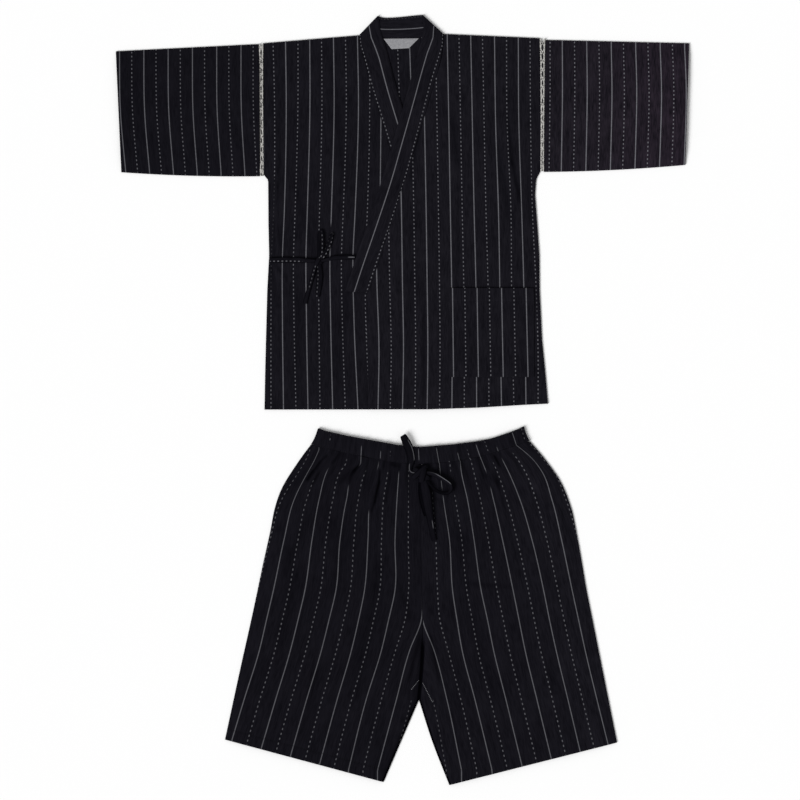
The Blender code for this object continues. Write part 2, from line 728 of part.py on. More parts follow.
def strip_sections(route, wall):
    """Sections of a flat strip along a route of (x, y, z, width, tilt)."""
    cuts = STRIP_CUTS * (len(route) - 1)
    sections = []
    for cut in range(cuts + 1):
        share = cut / cuts
        x, y, z, width, tilt = through(route, share)
        back = through(route, max(share - 0.02, 0.0))
        ahead = through(route, min(share + 0.02, 1.0))
        length = math.hypot(ahead[0] - back[0], ahead[1] - back[1])
        side = (-(ahead[1] - back[1]) / length, (ahead[0] - back[0]) / length)
        lean, flat = math.sin(math.radians(tilt)), math.cos(math.radians(tilt))
        across = (side[0] * flat, side[1] * flat, lean)
        normal = (-side[0] * lean, -side[1] * lean, flat)
        section = []
        for along_width, along_normal in ((-1, -1), (1, -1), (1, 1), (-1, 1)):
            section.append(tuple(
                middle + 0.5 * (along_width * width * a + along_normal * wall * n)
                for middle, a, n in zip((x, y, z), across, normal)
            ))
        sections.append(section)
    return sections


def build_ties(cloth):
    """The side tie and the front tie, and the loops and tails of the bow that they make."""
    for name, route in TIES.items():
        lifted = []
        for x, y, width in route:
            z = under_height(x, y) + WALL + LAYER + 0.5 * TIE_WALL
            lifted.append((x, y, z, width, 0.0))
        loft(name, strip_sections(lifted, TIE_WALL), cloth)
    z = under_height(*BOW_CENTRE) + WALL + LAYER + 0.5 * BOW_SIZE[2]
    build_knot("tie_knot", (*BOW_CENTRE, z), BOW_SIZE, cloth)


def build_knot(name, centre, size, cloth):
    shape = bmesh.new()
    bmesh.ops.create_icosphere(shape, subdivisions=2, radius=0.5)
    points = []
    for vertex in shape.verts:
        points.append(tuple(middle + reach * part for middle, reach, part in zip(centre, size, vertex.co)))
    faces = [tuple(vertex.index for vertex in face.verts) for face in shape.faces]
    shape.free()
    add_piece(name, points, faces, cloth)


def gather_places():
    """Columns across the front of one leg, from the centre seam out, four to a gather."""
    count = GATHERS * GATHER_CUTS
    places = []
    for step in range(count + 1):
        share = step / count
        from_ends = smooth(8.0 * min(share, 1.0 - share))
        places.append(share + GATHER_DRIFT * math.sin(9.0 * share * math.pi) * from_ends)
    return places


def gather_rise(step):
    """From 0 to 1: the height of the gathers at a column of gather_places."""
    depth = GATHER_DEPTHS[min(step // GATHER_CUTS, GATHERS - 1)]
    return depth * 0.5 * (1.0 - math.cos(2.0 * math.pi * step / GATHER_CUTS))


def build_leg(name, table, cloth):
    places = gather_places()
    back, last = shares(BACK_COLUMN_COUNT), len(places) - 1
    plain = [places[step * last // PLAIN_FRONT_COLUMNS] for step in range(PLAIN_FRONT_COLUMNS + 1)]
    names = LEG_ROWS.split()
    top = dict(zip(names, table[-1]))

    def bend(share):
        """How far the waist seam hangs from the straight line between its ends."""
        x = lerp(top["in_x"], top["out_x"], share)
        return WAIST.at(x, "seam") - WAIST_SEAM - lerp(top["in_y"], top["out_y"], share)

    rings = []
    for number, values in enumerate(table):
        row = dict(zip(names, values))
        inner, outer = (row["in_x"], row["in_y"]), (row["out_x"], row["out_y"])
        wide = math.hypot(outer[0] - inner[0], outer[1] - inner[1])

        def line(distance, inner=inner, outer=outer, wide=wide, follow=row["bend"]):
            share = distance / wide
            sag = follow * bend(min(max(share, 0.0), 1.0))
            return lerp(inner[0], outer[0], share), lerp(inner[1], outer[1], share) + sag

        def rise(share, height=row["gather"]):
            if number < FINE_ROW or share not in places:
                return 0.0
            return height * gather_rise(places.index(share))

        front = places if number >= FINE_ROW else plain
        is_open = number > CROTCH_ROW
        rings.append(flat_ring(line, wide, row["loft"], WALL, front, back, rise, is_open))
    tube(name, rings, CROTCH_ROW, cloth)


def build_waistband(cloth):
    """A tube that lies flat, gathered along the front."""
    right_end, left_end = WAIST.rows[0][0], WAIST.rows[-1][0]
    wide = left_end - right_end
    half_places = gather_places()
    centre = (CENTRE_SEAM - right_end) / wide
    front = [centre * (1.0 - place) for place in reversed(half_places)]
    front += [lerp(centre, 1.0, place) for place in half_places[1:]]
    rises = [gather_rise(step) for step in reversed(range(len(half_places)))]
    rises += [gather_rise(step) for step in range(1, len(half_places))]
    rings = []
    for level, fullness in WAIST_LEVELS:

        def line(distance, level=level):
            x = right_end + distance
            inside = min(max(x, right_end), left_end)
            return x, lerp(WAIST.at(inside, "seam"), WAIST.at(inside, "top"), level)

        def rise(share, fullness=fullness):
            return WAIST_RISE * fullness * rises[front.index(share)]

        rings.append(
            flat_ring(line, wide, WAIST_LOFT, CASING, front, shares(WAIST_BACK_COLUMNS), rise, False)
        )
    tube("waistband", rings, len(rings), cloth)


def build_drawstring(cloth):
    for name, route in STRING_LIMBS.items():
        loft(name, strip_sections(route, STRING_WALL), cloth)
    build_knot("string_knot", KNOT_CENTRE, KNOT_SIZE, cloth)


def main():
    clear_scene()
    cloth = finish("striped_cotton", CLOTH_COLOUR, 0.85)
    trim = finish("openwork_cotton", TRIM_COLOUR, 0.8)
    label = finish("label_tape", LABEL_COLOUR, 0.6)
    build_body(cloth)
    build_pocket(cloth)
    build_collar(cloth)
    build_label(label)
    build_sleeve("sleeve_right", RIGHT_SLEEVE, cloth)
    build_sleeve("sleeve_left", LEFT_SLEEVE, cloth)
    for side in ("right", "left"):
        build_insert("insert_" + side + "_front", side, INSERT_FRONT_Z, trim)
        build_insert("insert_" + side + "_back", side, 0.0, trim)
    build_ties(cloth)
    build_leg("leg_right", RIGHT_LEG, cloth)
    build_leg("leg_left", LEFT_LEG, cloth)
    build_waistband(cloth)
    build_drawstring(cloth)


main()
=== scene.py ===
"""The looks of a jinbei set laid flat: a cross-over jacket above a pair of drawstring shorts.

Metres, in the part's own frame: X to the right, Y up the garments, Z out of the floor. Right and
left are the wearer's, and the wearer's right side lies at -X. Each cloth piece is a thin closed
shell on the form of its solid, and its UV map holds the cloth's own lengths in metres, so that
stripes, slubs and weave all follow the cloth.
"""
import math

import bmesh
import bpy
import numpy as np
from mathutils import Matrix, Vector

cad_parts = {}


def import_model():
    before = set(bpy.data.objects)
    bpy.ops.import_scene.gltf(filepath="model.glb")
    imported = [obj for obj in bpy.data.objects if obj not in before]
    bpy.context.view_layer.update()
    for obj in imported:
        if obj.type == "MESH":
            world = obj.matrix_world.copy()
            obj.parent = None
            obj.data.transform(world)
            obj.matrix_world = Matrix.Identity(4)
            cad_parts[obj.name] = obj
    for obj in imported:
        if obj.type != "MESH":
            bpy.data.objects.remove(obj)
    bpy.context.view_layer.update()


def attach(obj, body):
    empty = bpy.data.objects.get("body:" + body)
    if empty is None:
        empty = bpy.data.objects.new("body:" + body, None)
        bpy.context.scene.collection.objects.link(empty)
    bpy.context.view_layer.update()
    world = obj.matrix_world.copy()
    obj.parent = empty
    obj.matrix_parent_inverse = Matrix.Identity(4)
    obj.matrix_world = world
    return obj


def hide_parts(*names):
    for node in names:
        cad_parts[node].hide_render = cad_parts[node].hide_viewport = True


WALL = 0.001  # one layer of cloth
DOUBLE = 0.0018  # cloth folded over itself, as in the collar band
SEAM = 0.0003  # the gap between pieces that are sewn together
WAIST_SEAM = 0.0009  # and along the curve of the waist
LAYER = 0.0006  # the gap between layers that lie on each other
FIRST_LAYER = WALL + SEAM  # the height of what lies on the back
EDGE = 0.0006  # how far in a cut edge starts to round off
EDGE_ROUND = 0.28  # how far the rounding reaches into the wall at each face
SHARP_ANGLE = 50.0
HEM_OFFSETS = (-0.0022, -0.0012, -0.0006, 0.0, 0.0006, 0.0012, 0.0022)  # lines beside a hem's stitches
HEM_THICKER = 0.0005  # how much thicker a hem lies, and how deep its stitches draw it down
HEM_DRAWN = 0.00028

PITCH = 0.024  # from one stripe to the next, solid and dotted by turns
DASH_PITCH = 0.0083
SHOW_FADE = 0.012  # over this much a stripe fades where a fold hides it
BEYOND = -0.9  # a place past the foot of every piece
SHORTS_SCALE = 1.22  # the shorts' cloth has the same pattern, a little larger

CAMERA_X = -0.005  # the middle of the photograph's frame
CAMERA_HEIGHT = 8.889
CAMERA_LENS = 200.0


def lerp(low, high, share):
    return low + (high - low) * share


def smooth(share):
    share = np.clip(share, 0.0, 1.0)
    return share * share * (3.0 - 2.0 * share)


def curve(place, places, values):
    """A smooth curve through the values at places, level beyond the ends."""
    places, values = np.asarray(places, float), np.asarray(values, float)
    slopes = np.gradient(values, places, axis=0)
    place = np.clip(place, places[0], places[-1])
    step = np.clip(np.searchsorted(places, place, side="right") - 1, 0, len(places) - 2)
    span = places[step + 1] - places[step]
    share = (place - places[step]) / span
    if values.ndim > 1:
        share, span = share[..., None], span[..., None]
    square, cube = share**2, share**3
    return (
        (2 * cube - 3 * square + 1) * values[step]
        + (cube - 2 * square + share) * span * slopes[step]
        + (3 * square - 2 * cube) * values[step + 1]
        + (cube - square) * span * slopes[step + 1]
    )


def joined(*parts):
    """The parts beside each other at every place, as x, y and z are in a grid of points."""
    return np.stack(np.broadcast_arrays(*parts), -1)


def distances(points):
    """The length along a line of points, or down each column of a grid of them."""
    steps = np.linalg.norm(np.diff(points, axis=0), axis=-1)
    return np.concatenate([np.zeros_like(steps[:1]), np.cumsum(steps, axis=0)])


def nearest(values, value):
    """The number of the value that comes nearest."""
    return int(np.argmin(np.abs(values - value)))


def closed(grid):
    """The grid with its first column once more after its last."""
    return np.concatenate([grid, grid[:, :1]], 1)


def unit(vectors):
    return vectors / np.linalg.norm(vectors, axis=1)[:, None]


class Table:
    """Rows of named columns, read between the rows by the place in the first column."""

    def __init__(self, names, *rows):
        values = np.array(sorted(rows), float)
        self.places = values[:, 0]
        self.columns = dict(zip(names.split()[1:], values[:, 1:].T))

    def at(self, place, name):
        """Straight between the rows, and level beyond the ends."""
        return np.interp(place, self.places, self.columns[name])

    def smooth_at(self, place, name):
        return curve(place, self.places, self.columns[name])


class Stripes:
    """Where some of a piece's stripes run, in rows by their place along it. Stripes between two
    of them lie evenly. A stripe's number is even where it is solid, and odd where it is dotted.
    """

    def __init__(self, numbers, *rows):
        values = np.array(sorted(rows), float)
        self.numbers = np.array(numbers, float)
        self.places, self.lines = values[:, 0], values[:, 1:]

    def number(self, x, along):
        """The stripe's number at x, running evenly between stripes and on past the last."""
        lines = curve(along, self.places, self.lines)
        step = (lines <= x[..., None]).sum(-1) - 1
        step = np.clip(step, 0, len(self.numbers) - 2)
        low, high = (np.take_along_axis(lines, (step + n)[..., None], -1)[..., 0] for n in (0, 1))
        share = (x - low) / (high - low)
        return lerp(self.numbers[step], self.numbers[step + 1], share)


class Shows:
    """Where a piece's stripes show. Each row holds a stripe's number, the places along the piece
    between which it shows, and how strongly. Where it shows in full right to the piece's foot,
    the last two are left out. A stripe that isn't named shows all the way.
    """

    def __init__(self, *rows, fade=SHOW_FADE, rest=1.0):
        self.rows = [(*row, *(BEYOND, 1.0)[len(row) - 2:]) for row in rows]
        self.fade, self.rest = fade, rest

    def at(self, number, along):
        number = np.round(number)
        strength = np.where(np.isin(number, [row[0] for row in self.rows]), 0.0, self.rest)
        for named, top, foot, most in self.rows:
            from_top, from_foot = (top - along) / self.fade, (along - foot) / self.fade
            here = most * smooth(from_top + 0.5) * smooth(from_foot + 0.5)
            strength = np.where(number == named, np.maximum(strength, here), strength)
        return strength


# The part's own sizes, repeated.
SIDES = Table(
    "y right left",
    (0.720, -0.2782, 0.2742),
    (0.650, -0.2789, 0.2758),
    (0.560, -0.2788, 0.2768),
    (0.458, -0.2776, 0.2760),
    (0.449, -0.2768, 0.2710),
    (0.440, -0.2686, 0.2670),
    (0.410, -0.2684, 0.2650),
    (0.350, -0.2680, 0.2695),
    (0.290, -0.2666, 0.2736),
    (0.220, -0.2704, 0.2742),
    (0.120, -0.2730, 0.2790),
    (0.060, -0.2745, 0.2850),
    (-0.020, -0.2760, 0.2920),
)
TOP = Table(
    "x front back",
    (-0.2772, 0.7132, 0.7132),
    (-0.0874, 0.7290, 0.7286),
    (-0.0450, 0.7270, 0.7250),
    (-0.0030, 0.7270, 0.7238),
    (0.0390, 0.7290, 0.7257),
    (0.0822, 0.7318, 0.7314),
    (0.2736, 0.7234, 0.7234),
)
HEM = Table(
    "x y",
    (-0.2760, -0.0192),
    (0.0510, -0.0188),
    (0.1502, -0.0154),
    (0.2466, -0.0096),
    (0.2914, -0.0074),
)
# The collar band: x and y of its seam, x and y of its free edge, and its height on the fronts.
UNDER_RUN = (
    (-0.0834, 0.708, -0.0440, 0.738, 0.0024),
    (-0.0762, 0.684, -0.0350, 0.710, 0.0017),
    (-0.0676, 0.652, -0.0260, 0.676, 0.0013),
    (-0.0540, 0.604, -0.0120, 0.624, 0.0013),
    (-0.0300, 0.520, 0.0140, 0.538, 0.0013),
    (-0.0050, 0.440, 0.0390, 0.450, 0.0013),
    (0.0220, 0.356, 0.0660, 0.362, 0.0013),
    (0.0470, 0.278, 0.0930, 0.283, 0.0013),
    (0.0680, 0.215, 0.1160, 0.217, 0.0013),
)
OVER_RUN = (
    (0.0802, 0.708, 0.0422, 0.740, 0.0024),
    (0.0760, 0.680, 0.0354, 0.712, 0.0024),
    (0.0670, 0.646, 0.0262, 0.678, 0.0030),
    (0.0510, 0.592, 0.0104, 0.620, 0.0042),
    (0.0250, 0.504, -0.0178, 0.522, 0.0042),
    (0.0000, 0.428, -0.0420, 0.438, 0.0042),
    (-0.0260, 0.346, -0.0700, 0.352, 0.0042),
    (-0.0500, 0.268, -0.0970, 0.273, 0.0042),
    (-0.0690, 0.215, -0.1150, 0.217, 0.0042),
)
RIGHT_FOLD = (-0.0874, 0.7290, -0.0500, 0.7680)
LEFT_FOLD = (0.0822, 0.7318, 0.0406, 0.7700)
FOLD_RADIUS = 0.0021
BACK_NECK = (
    (-0.0450, 0.7248, -0.0350, 0.7640),
    (-0.0030, 0.7236, -0.0050, 0.7655),
    (0.0390, 0.7255, 0.0190, 0.7680),
)
FRONT_EDGES = Table(
    "y under over",
    (0.732, -0.0880, 0.0827),
    (0.729, -0.0877, 0.0825),
    (0.708, -0.0838, 0.0806),
    (0.684, -0.0774, 0.0780),
    (0.646, -0.0660, 0.0674),
    (0.592, -0.0510, 0.0514),
    (0.504, -0.0256, 0.0254),
    (0.428, -0.0018, 0.0004),
    (0.346, 0.0248, -0.0256),
    (0.268, 0.0498, -0.0496),
    (0.215, 0.0676, -0.0686),
    (0.200, 0.0680, -0.0720),
    (0.100, 0.0680, -0.0700),
    (-0.020, 0.0680, -0.0680),
)
SWELL = 0.0008  # the inner front's broad waves
SWELL_WAVE = 0.17
SWELL_SWAY, SWELL_SWAY_RATE = 1.4, 0.6
SWELL_LIFT = 0.0003
SETTLE = 0.05  # over this much they sink towards the seams
CLIMB = 0.0029  # how far the outer front rises over the inner one, and over how much cloth
CLIMB_RUN = 0.16
CLIMB_DROP = 0.13
RELIEF_SIDE, RELIEF_END = 0.03, 0.04  # over this much folds and ripples sink towards the edges
RELIEF_AT_HEM = 0.02  # how far past the hem they would be gone
JACKET_RIPPLE = 0.0006
POCKET_WIDTH, POCKET_HEIGHT = 0.170, 0.178
POCKET_CORNER = (0.0935, 0.0460)
LABEL_CORNERS = ((-0.0376, 0.7224), (0.0326, 0.7232), (0.0130, 0.7036), (-0.0218, 0.7016))
RIGHT_SLEEVE = ((-0.2868, 0.7116), (-0.2846, 0.4474), (-0.5732, 0.6972), (-0.5622, 0.4554))
LEFT_SLEEVE = ((0.2856, 0.7200), (0.2828, 0.4560), (0.5732, 0.7132), (0.5655, 0.4700))
SLEEVE_LOFT = 0.0046
SLEEVE_SAG = 0.0030
INSERT = Table(
    "y right_x right_half left_x left_half",
    (0.720, -0.2826, 0.0044, 0.2799, 0.0052),
    (0.680, -0.2826, 0.0038, 0.2801, 0.0044),
    (0.560, -0.2823, 0.0036, 0.2800, 0.0034),
    (0.445, -0.2811, 0.0036, 0.2793, 0.0034),
)
INSERT_TOP = {"right": 0.7122, "left": 0.7222}
INSERT_FOOT = {"right": 0.4482, "left": 0.4575}
INSERT_HOLES = 15
INSERT_FRONT_Z = 0.0022
LEG_COLUMNS = "out_x out_y in_x in_y loft gather bend"
RIGHT_LEG = (
    (-0.3550, -0.6790, -0.0380, -0.7640, 0.0046, 0.0, 0.0),
    (-0.3380, -0.6000, -0.0020, -0.6800, 0.0046, 0.0, 0.0),
    (-0.3210, -0.5220, 0.0329, -0.5990, 0.0046, 0.0, 0.0),
    (-0.3040, -0.4460, 0.0396, -0.5200, 0.0046, 0.0, 0.0),
    (-0.2920, -0.3900, 0.0407, -0.4600, 0.0044, 0.0, 0.1),
    (-0.2790, -0.3280, 0.0397, -0.3900, 0.0042, 0.0, 0.2),
    (-0.2650, -0.2650, 0.0383, -0.3100, 0.0040, 0.0, 0.4),
    (-0.2550, -0.2150, 0.0375, -0.2350, 0.0038, 0.0004, 0.6),
    (-0.2390, -0.1720, 0.0371, -0.1900, 0.0038, 0.0010, 0.8),
    (-0.2080, -0.1230, 0.0371, -0.1560, 0.0040, 0.0018, 0.9),
    (-0.1830, -0.0890, 0.0371, -0.1290, 0.0044, 0.0024, 1.0),
)
LEFT_LEG = (
    (0.4290, -0.6850, 0.0936, -0.7700, 0.0046, 0.0, 0.0),
    (0.4120, -0.6000, 0.0600, -0.6840, 0.0046, 0.0, 0.0),
    (0.3960, -0.5200, 0.0327, -0.5990, 0.0046, 0.0, 0.0),
    (0.3790, -0.4350, 0.0394, -0.5200, 0.0046, 0.0, 0.0),
    (0.3680, -0.3800, 0.0405, -0.4600, 0.0044, 0.0, 0.1),
    (0.3570, -0.3150, 0.0395, -0.3900, 0.0042, 0.0, 0.2),
    (0.3460, -0.2550, 0.0381, -0.3100, 0.0040, 0.0, 0.4),
    (0.3370, -0.2150, 0.0373, -0.2350, 0.0038, 0.0004, 0.6),
    (0.3170, -0.1650, 0.0369, -0.1900, 0.0038, 0.0010, 0.8),
    (0.2860, -0.1200, 0.0369, -0.1560, 0.0040, 0.0018, 0.9),
    (0.2550, -0.0830, 0.0369, -0.1290, 0.0044, 0.0024, 1.0),
)
CROTCH_ROW = 4
APEX_ROW = 2  # down to here the legs' inner edges touch, and from here they part
RIGHT_TACK = ((0.0335, -0.5590), (0.0162, -0.5805))  # short rows of pale stitches beside the apex
LEFT_TACK = ((0.0395, -0.5640), (0.0605, -0.6050))
TACK_WIDTH = 0.0020
CENTRE_SEAM = 0.0370
WAIST = Table(
    "x seam top",
    (-0.1830, -0.0880, -0.0640),
    (-0.1700, -0.0930, -0.0556),
    (-0.1560, -0.0965, -0.0610),
    (-0.1100, -0.1070, -0.0715),
    (-0.0520, -0.1190, -0.0820),
    (-0.0050, -0.1260, -0.0905),
    (0.0370, -0.1285, -0.0938),
    (0.1020, -0.1235, -0.0885),
    (0.1470, -0.1150, -0.0828),
    (0.1740, -0.1080, -0.0780),
    (0.2090, -0.0970, -0.0665),
    (0.2330, -0.0890, -0.0575),
    (0.2420, -0.0860, -0.0525),
    (0.2550, -0.0820, -0.0640),
)
WAIST_LOFT = 0.0052
WAIST_RISE = 0.0020
GATHERS = 10
GATHER_DEPTHS = (0.5, 1.0, 0.6, 1.1, 0.4, 0.9, 0.3, 0.6, 0.85, 0.45)
GATHER_DRIFT = 0.018
LEG_GATHER = 0.0024
# painted shade in the valleys between the gathers
GATHER_SHADE = 0.35

# Stripes: the place along the piece, and then the places of the stripes that are numbered.
UNDER_STRIPES = Stripes(
    (1, 3, 5, 8, 10),
    (0.720, -0.259, -0.209, -0.162, -0.090, -0.043),
    (0.600, -0.256, -0.209, -0.161, -0.088, -0.043),
    (0.372, -0.258, -0.215, -0.166, -0.095, -0.046),
    (0.290, -0.262, -0.218, -0.168, -0.099, -0.049),
    (0.160, -0.263, -0.217, -0.167, -0.097, -0.050),
    (-0.018, -0.263, -0.213, -0.165, -0.089, -0.041),
)
OVER_STRIPES = Stripes(
    (0, 2, 5, 9, 11, 13),
    (0.720, -0.058, -0.008, 0.066, 0.160, 0.208, 0.255),
    (0.560, -0.057, -0.006, 0.069, 0.163, 0.209, 0.256),
    (0.372, -0.054, -0.002, 0.072, 0.167, 0.217, 0.260),
    (0.228, -0.051, 0.000, 0.074, 0.171, 0.218, 0.267),
    (0.100, -0.047, 0.002, 0.075, 0.172, 0.220, 0.271),
    (-0.018, -0.049, 0.000, 0.074, 0.173, 0.223, 0.271),
)
BACK_STRIPES = Stripes((1, 2), (0.702, -0.0096, 0.0144), (0.603, -0.0062, 0.0178))
POCKET_STRIPES = Stripes((0, 6), (0.220, 0.100, 0.247), (0.048, 0.102, 0.251))
RIGHT_SLEEVE_STRIPES = Stripes(
    (0, 11), (0.700, -0.5658, -0.2986), (0.580, -0.5640, -0.2980), (0.454, -0.5532, -0.2914)
)
LEFT_SLEEVE_STRIPES = Stripes(
    (1, 12), (0.700, 0.2950, 0.5642), (0.628, 0.2950, 0.5670), (0.464, 0.2930, 0.5630)
)
RIGHT_LEG_STRIPES = Stripes(
    (0, 2, 4, 6, 8, 10),
    (-0.100, -0.167, -0.131, -0.083, -0.047, -0.005, 0.033),
    (-0.120, -0.176, -0.141, -0.083, -0.047, -0.006, 0.032),
    (-0.128, -0.180, -0.144, -0.084, -0.048, -0.006, 0.032),
    (-0.142, -0.188, -0.151, -0.096, -0.051, -0.007, 0.032),
    (-0.200, -0.217, -0.167, -0.112, -0.065, -0.011, 0.035),
    (-0.280, -0.237, -0.181, -0.125, -0.069, -0.015, 0.038),
    (-0.380, -0.258, -0.195, -0.133, -0.076, -0.015, 0.0391),
    (-0.440, -0.272, -0.209, -0.147, -0.088, -0.028, 0.0375),
    (-0.500, -0.286, -0.224, -0.162, -0.102, -0.042, 0.0145),
    (-0.600, -0.317, -0.254, -0.192, -0.131, -0.073, -0.0125),
    (-0.740, -0.359, -0.295, -0.232, -0.169, -0.108, -0.050),
)
LEFT_LEG_STRIPES = Stripes(
    (0, 2, 4, 6, 8, 10, 11),
    (-0.090, 0.038, 0.069, 0.109, 0.146, 0.186, 0.227, 0.257),
    (-0.100, 0.038, 0.070, 0.111, 0.150, 0.191, 0.240, 0.267),
    (-0.120, 0.039, 0.073, 0.115, 0.158, 0.200, 0.262, 0.283),
    (-0.140, 0.041, 0.075, 0.117, 0.166, 0.210, 0.277, 0.300),
    (-0.200, 0.039, 0.082, 0.130, 0.182, 0.235, 0.299, 0.327),
    (-0.280, 0.039, 0.094, 0.143, 0.200, 0.259, 0.318, 0.351),
    (-0.380, 0.0400, 0.100, 0.157, 0.221, 0.282, 0.339, 0.371),
    (-0.440, 0.0405, 0.109, 0.170, 0.233, 0.294, 0.352, 0.384),
    (-0.500, 0.063, 0.119, 0.182, 0.245, 0.307, 0.365, 0.397),
    (-0.600, 0.089, 0.145, 0.207, 0.269, 0.331, 0.389, 0.419),
    (-0.740, 0.118, 0.179, 0.241, 0.303, 0.364, 0.424, 0.451),
)
WAIST_STRIPES = Stripes(
    (0, 4, 8, 12, 16, 21),
    (0.0, -0.170, -0.083, -0.006, 0.073, 0.155, 0.246),
    (1.0, -0.163, -0.081, -0.004, 0.067, 0.145, 0.237),
)
# Where folds and gathers hide a stripe: the stripe's number, from and to which place, how strongly.
UNDER_SHOWS = Shows(
    (1, 0.80, 0.444), (1, 0.444, 0.220, 0.18), (1, 0.220), (6, 0.80, 0.352), (6, 0.305),
)
RIGHT_SLEEVE_SHOWS = Shows(rest=0.86)
OVER_SHOWS = Shows((13, 0.80, 0.225), (13, 0.225, 0.165, 0.5), (13, 0.165))
BACK_SHOWS = Shows((0, 0.0, 0.0, 0.0))
RIGHT_LEG_SHOWS = Shows(
    (0, -0.094), (1, -0.160), (2, -0.140), (3, -0.120), (4, -0.050, -0.128), (4, -0.174),
    (5, -0.144), (6, -0.126, -0.136, 0.7), (6, -0.224), (7, -0.144), (8, -0.146),
    (9, -0.142, -0.156), (9, -0.156, -0.200, 0.35), (9, -0.200), (10, -0.156, -0.176, 0.8),
    (10, -0.394, -0.424, 0.45), (10, -0.418), (11, -0.600, BEYOND, 0.6),
)
LEFT_LEG_SHOWS = Shows(
    (-1, -0.600, BEYOND, 0.6), (0, -0.404), (1, -0.176, -0.240, 0.4), (1, -0.240),
    (2, -0.050, -0.146), (2, -0.153, -0.177, 0.9), (2, -0.192), (3, -0.050, -0.142), (3, -0.190),
    (6, -0.050, -0.142), (6, -0.177), (7, -0.126), (8, -0.120), (9, -0.108),
)
WAIST_SHOWS = Shows(
    (1, 0.82, 0.43), (4, 0.56), (6, 0.48, 0.10, 0.9), (7, 0.55, 0.35), (10, 0.86, 0.24),
    (12, 0.85), (13, 0.15, BEYOND, 0.8), (14, 0.45), (15, 0.55), (16, 0.78), (17, 0.88, 0.14),
    (18, 0.30, BEYOND, 0.8), (20, 0.93), (21, 0.90, 0.20), fade=0.12, rest=0.0,
)

# Folds: soft ridges from one place to another, with their height and half width. A trough is a
# ridge of less than nothing. Each is steeper on one side, as a fold that leans over is.
FOLD_STEEP, FOLD_GENTLE = 0.5, 1.35
DEEP_FOLD = 0.0028
DARKEST_PAINTED_FOLD_SHADE = 1.2
FOLD_SHADE = 0.75  # painted shade: how much darker the cloth is painted beside a deep fold
JACKET_FOLDS = (
    # top x, top y, foot x, foot y, height, half width
    (0.206, 0.560, 0.214, 0.470, 0.0018, 0.009),
    (0.213, 0.480, 0.231, 0.390, 0.0022, 0.009),
    (0.180, 0.500, 0.205, 0.350, 0.0012, 0.018),
    (0.243, 0.470, 0.252, 0.340, 0.0010, 0.012),
    (-0.250, 0.500, -0.256, 0.390, 0.0014, 0.008),
    (-0.254, 0.350, -0.246, 0.296, 0.0014, 0.007),
    (-0.2565, 0.356, -0.2560, 0.292, -0.0016, 0.0032),
    (-0.2640, 0.268, -0.2550, 0.240, -0.0012, 0.0034),
    (-0.2550, 0.240, -0.2560, 0.180, -0.0014, 0.0034),
    (-0.266, 0.346, -0.266, 0.150, 0.0012, 0.006),
    (-0.262, 0.272, -0.234, 0.240, 0.0012, 0.006),
    (-0.226, 0.440, -0.190, 0.300, 0.0010, 0.016),
    (-0.150, 0.640, -0.128, 0.420, 0.0010, 0.020),
    (0.032, 0.556, 0.008, 0.430, 0.0016, 0.008),
    (0.092, 0.560, 0.102, 0.460, 0.0014, 0.014),
    (0.105, 0.350, 0.103, 0.210, 0.0009, 0.008),
    (-0.120, 0.240, -0.140, 0.060, 0.0009, 0.018),
    (-0.215, 0.200, -0.226, 0.020, 0.0010, 0.016),
    (0.010, 0.330, 0.000, 0.100, 0.0008, 0.020),
    (0.038, 0.180, 0.039, -0.010, 0.0016, 0.007),
    (0.268, 0.225, 0.268, 0.165, 0.0014, 0.006),
    (0.120, 0.160, 0.150, 0.050, 0.0007, 0.020),
)
RIGHT_LEG_FOLDS = (
    (-0.149, -0.110, -0.163, -0.122, -0.0018, 0.0042),
    (-0.163, -0.122, -0.179, -0.144, -0.0026, 0.0048),
    (-0.178, -0.142, -0.192, -0.162, -0.0030, 0.0062),
    (-0.170, -0.142, -0.186, -0.170, 0.0020, 0.0070),
    (-0.128, -0.104, -0.146, -0.126, 0.0016, 0.0070),
    (-0.086, -0.130, -0.099, -0.144, -0.0026, 0.0040),
    (-0.099, -0.144, -0.106, -0.166, -0.0014, 0.0042),
    (-0.092, -0.136, -0.130, -0.168, -0.0016, 0.0100),
    (-0.072, -0.108, -0.082, -0.170, 0.0012, 0.0080),
    (-0.0450, -0.138, -0.0460, -0.166, -0.0020, 0.0036),
    (-0.0460, -0.164, -0.0550, -0.205, -0.0030, 0.0040),
    (-0.0540, -0.202, -0.0620, -0.224, -0.0018, 0.0036),
    (-0.0290, -0.113, -0.0060, -0.117, -0.0026, 0.0058),
    (-0.0240, -0.126, -0.0020, -0.132, -0.0020, 0.0090),
    (-0.0660, -0.108, -0.0300, -0.116, -0.0018, 0.0070),
    (-0.028, -0.140, -0.040, -0.210, 0.0012, 0.0090),
    (0.012, -0.132, 0.006, -0.200, 0.0010, 0.0080),
    (-0.200, -0.230, -0.240, -0.330, 0.0012, 0.018),
    (-0.226, -0.330, -0.262, -0.480, 0.0010, 0.026),
    (-0.135, -0.250, -0.150, -0.400, 0.0009, 0.022),
    (-0.060, -0.320, -0.110, -0.560, 0.0010, 0.028),
    (-0.020, -0.360, 0.010, -0.440, 0.0010, 0.014),
    (0.030, -0.470, 0.008, -0.560, 0.0018, 0.008),
    (-0.180, -0.520, -0.215, -0.660, 0.0009, 0.024),
)
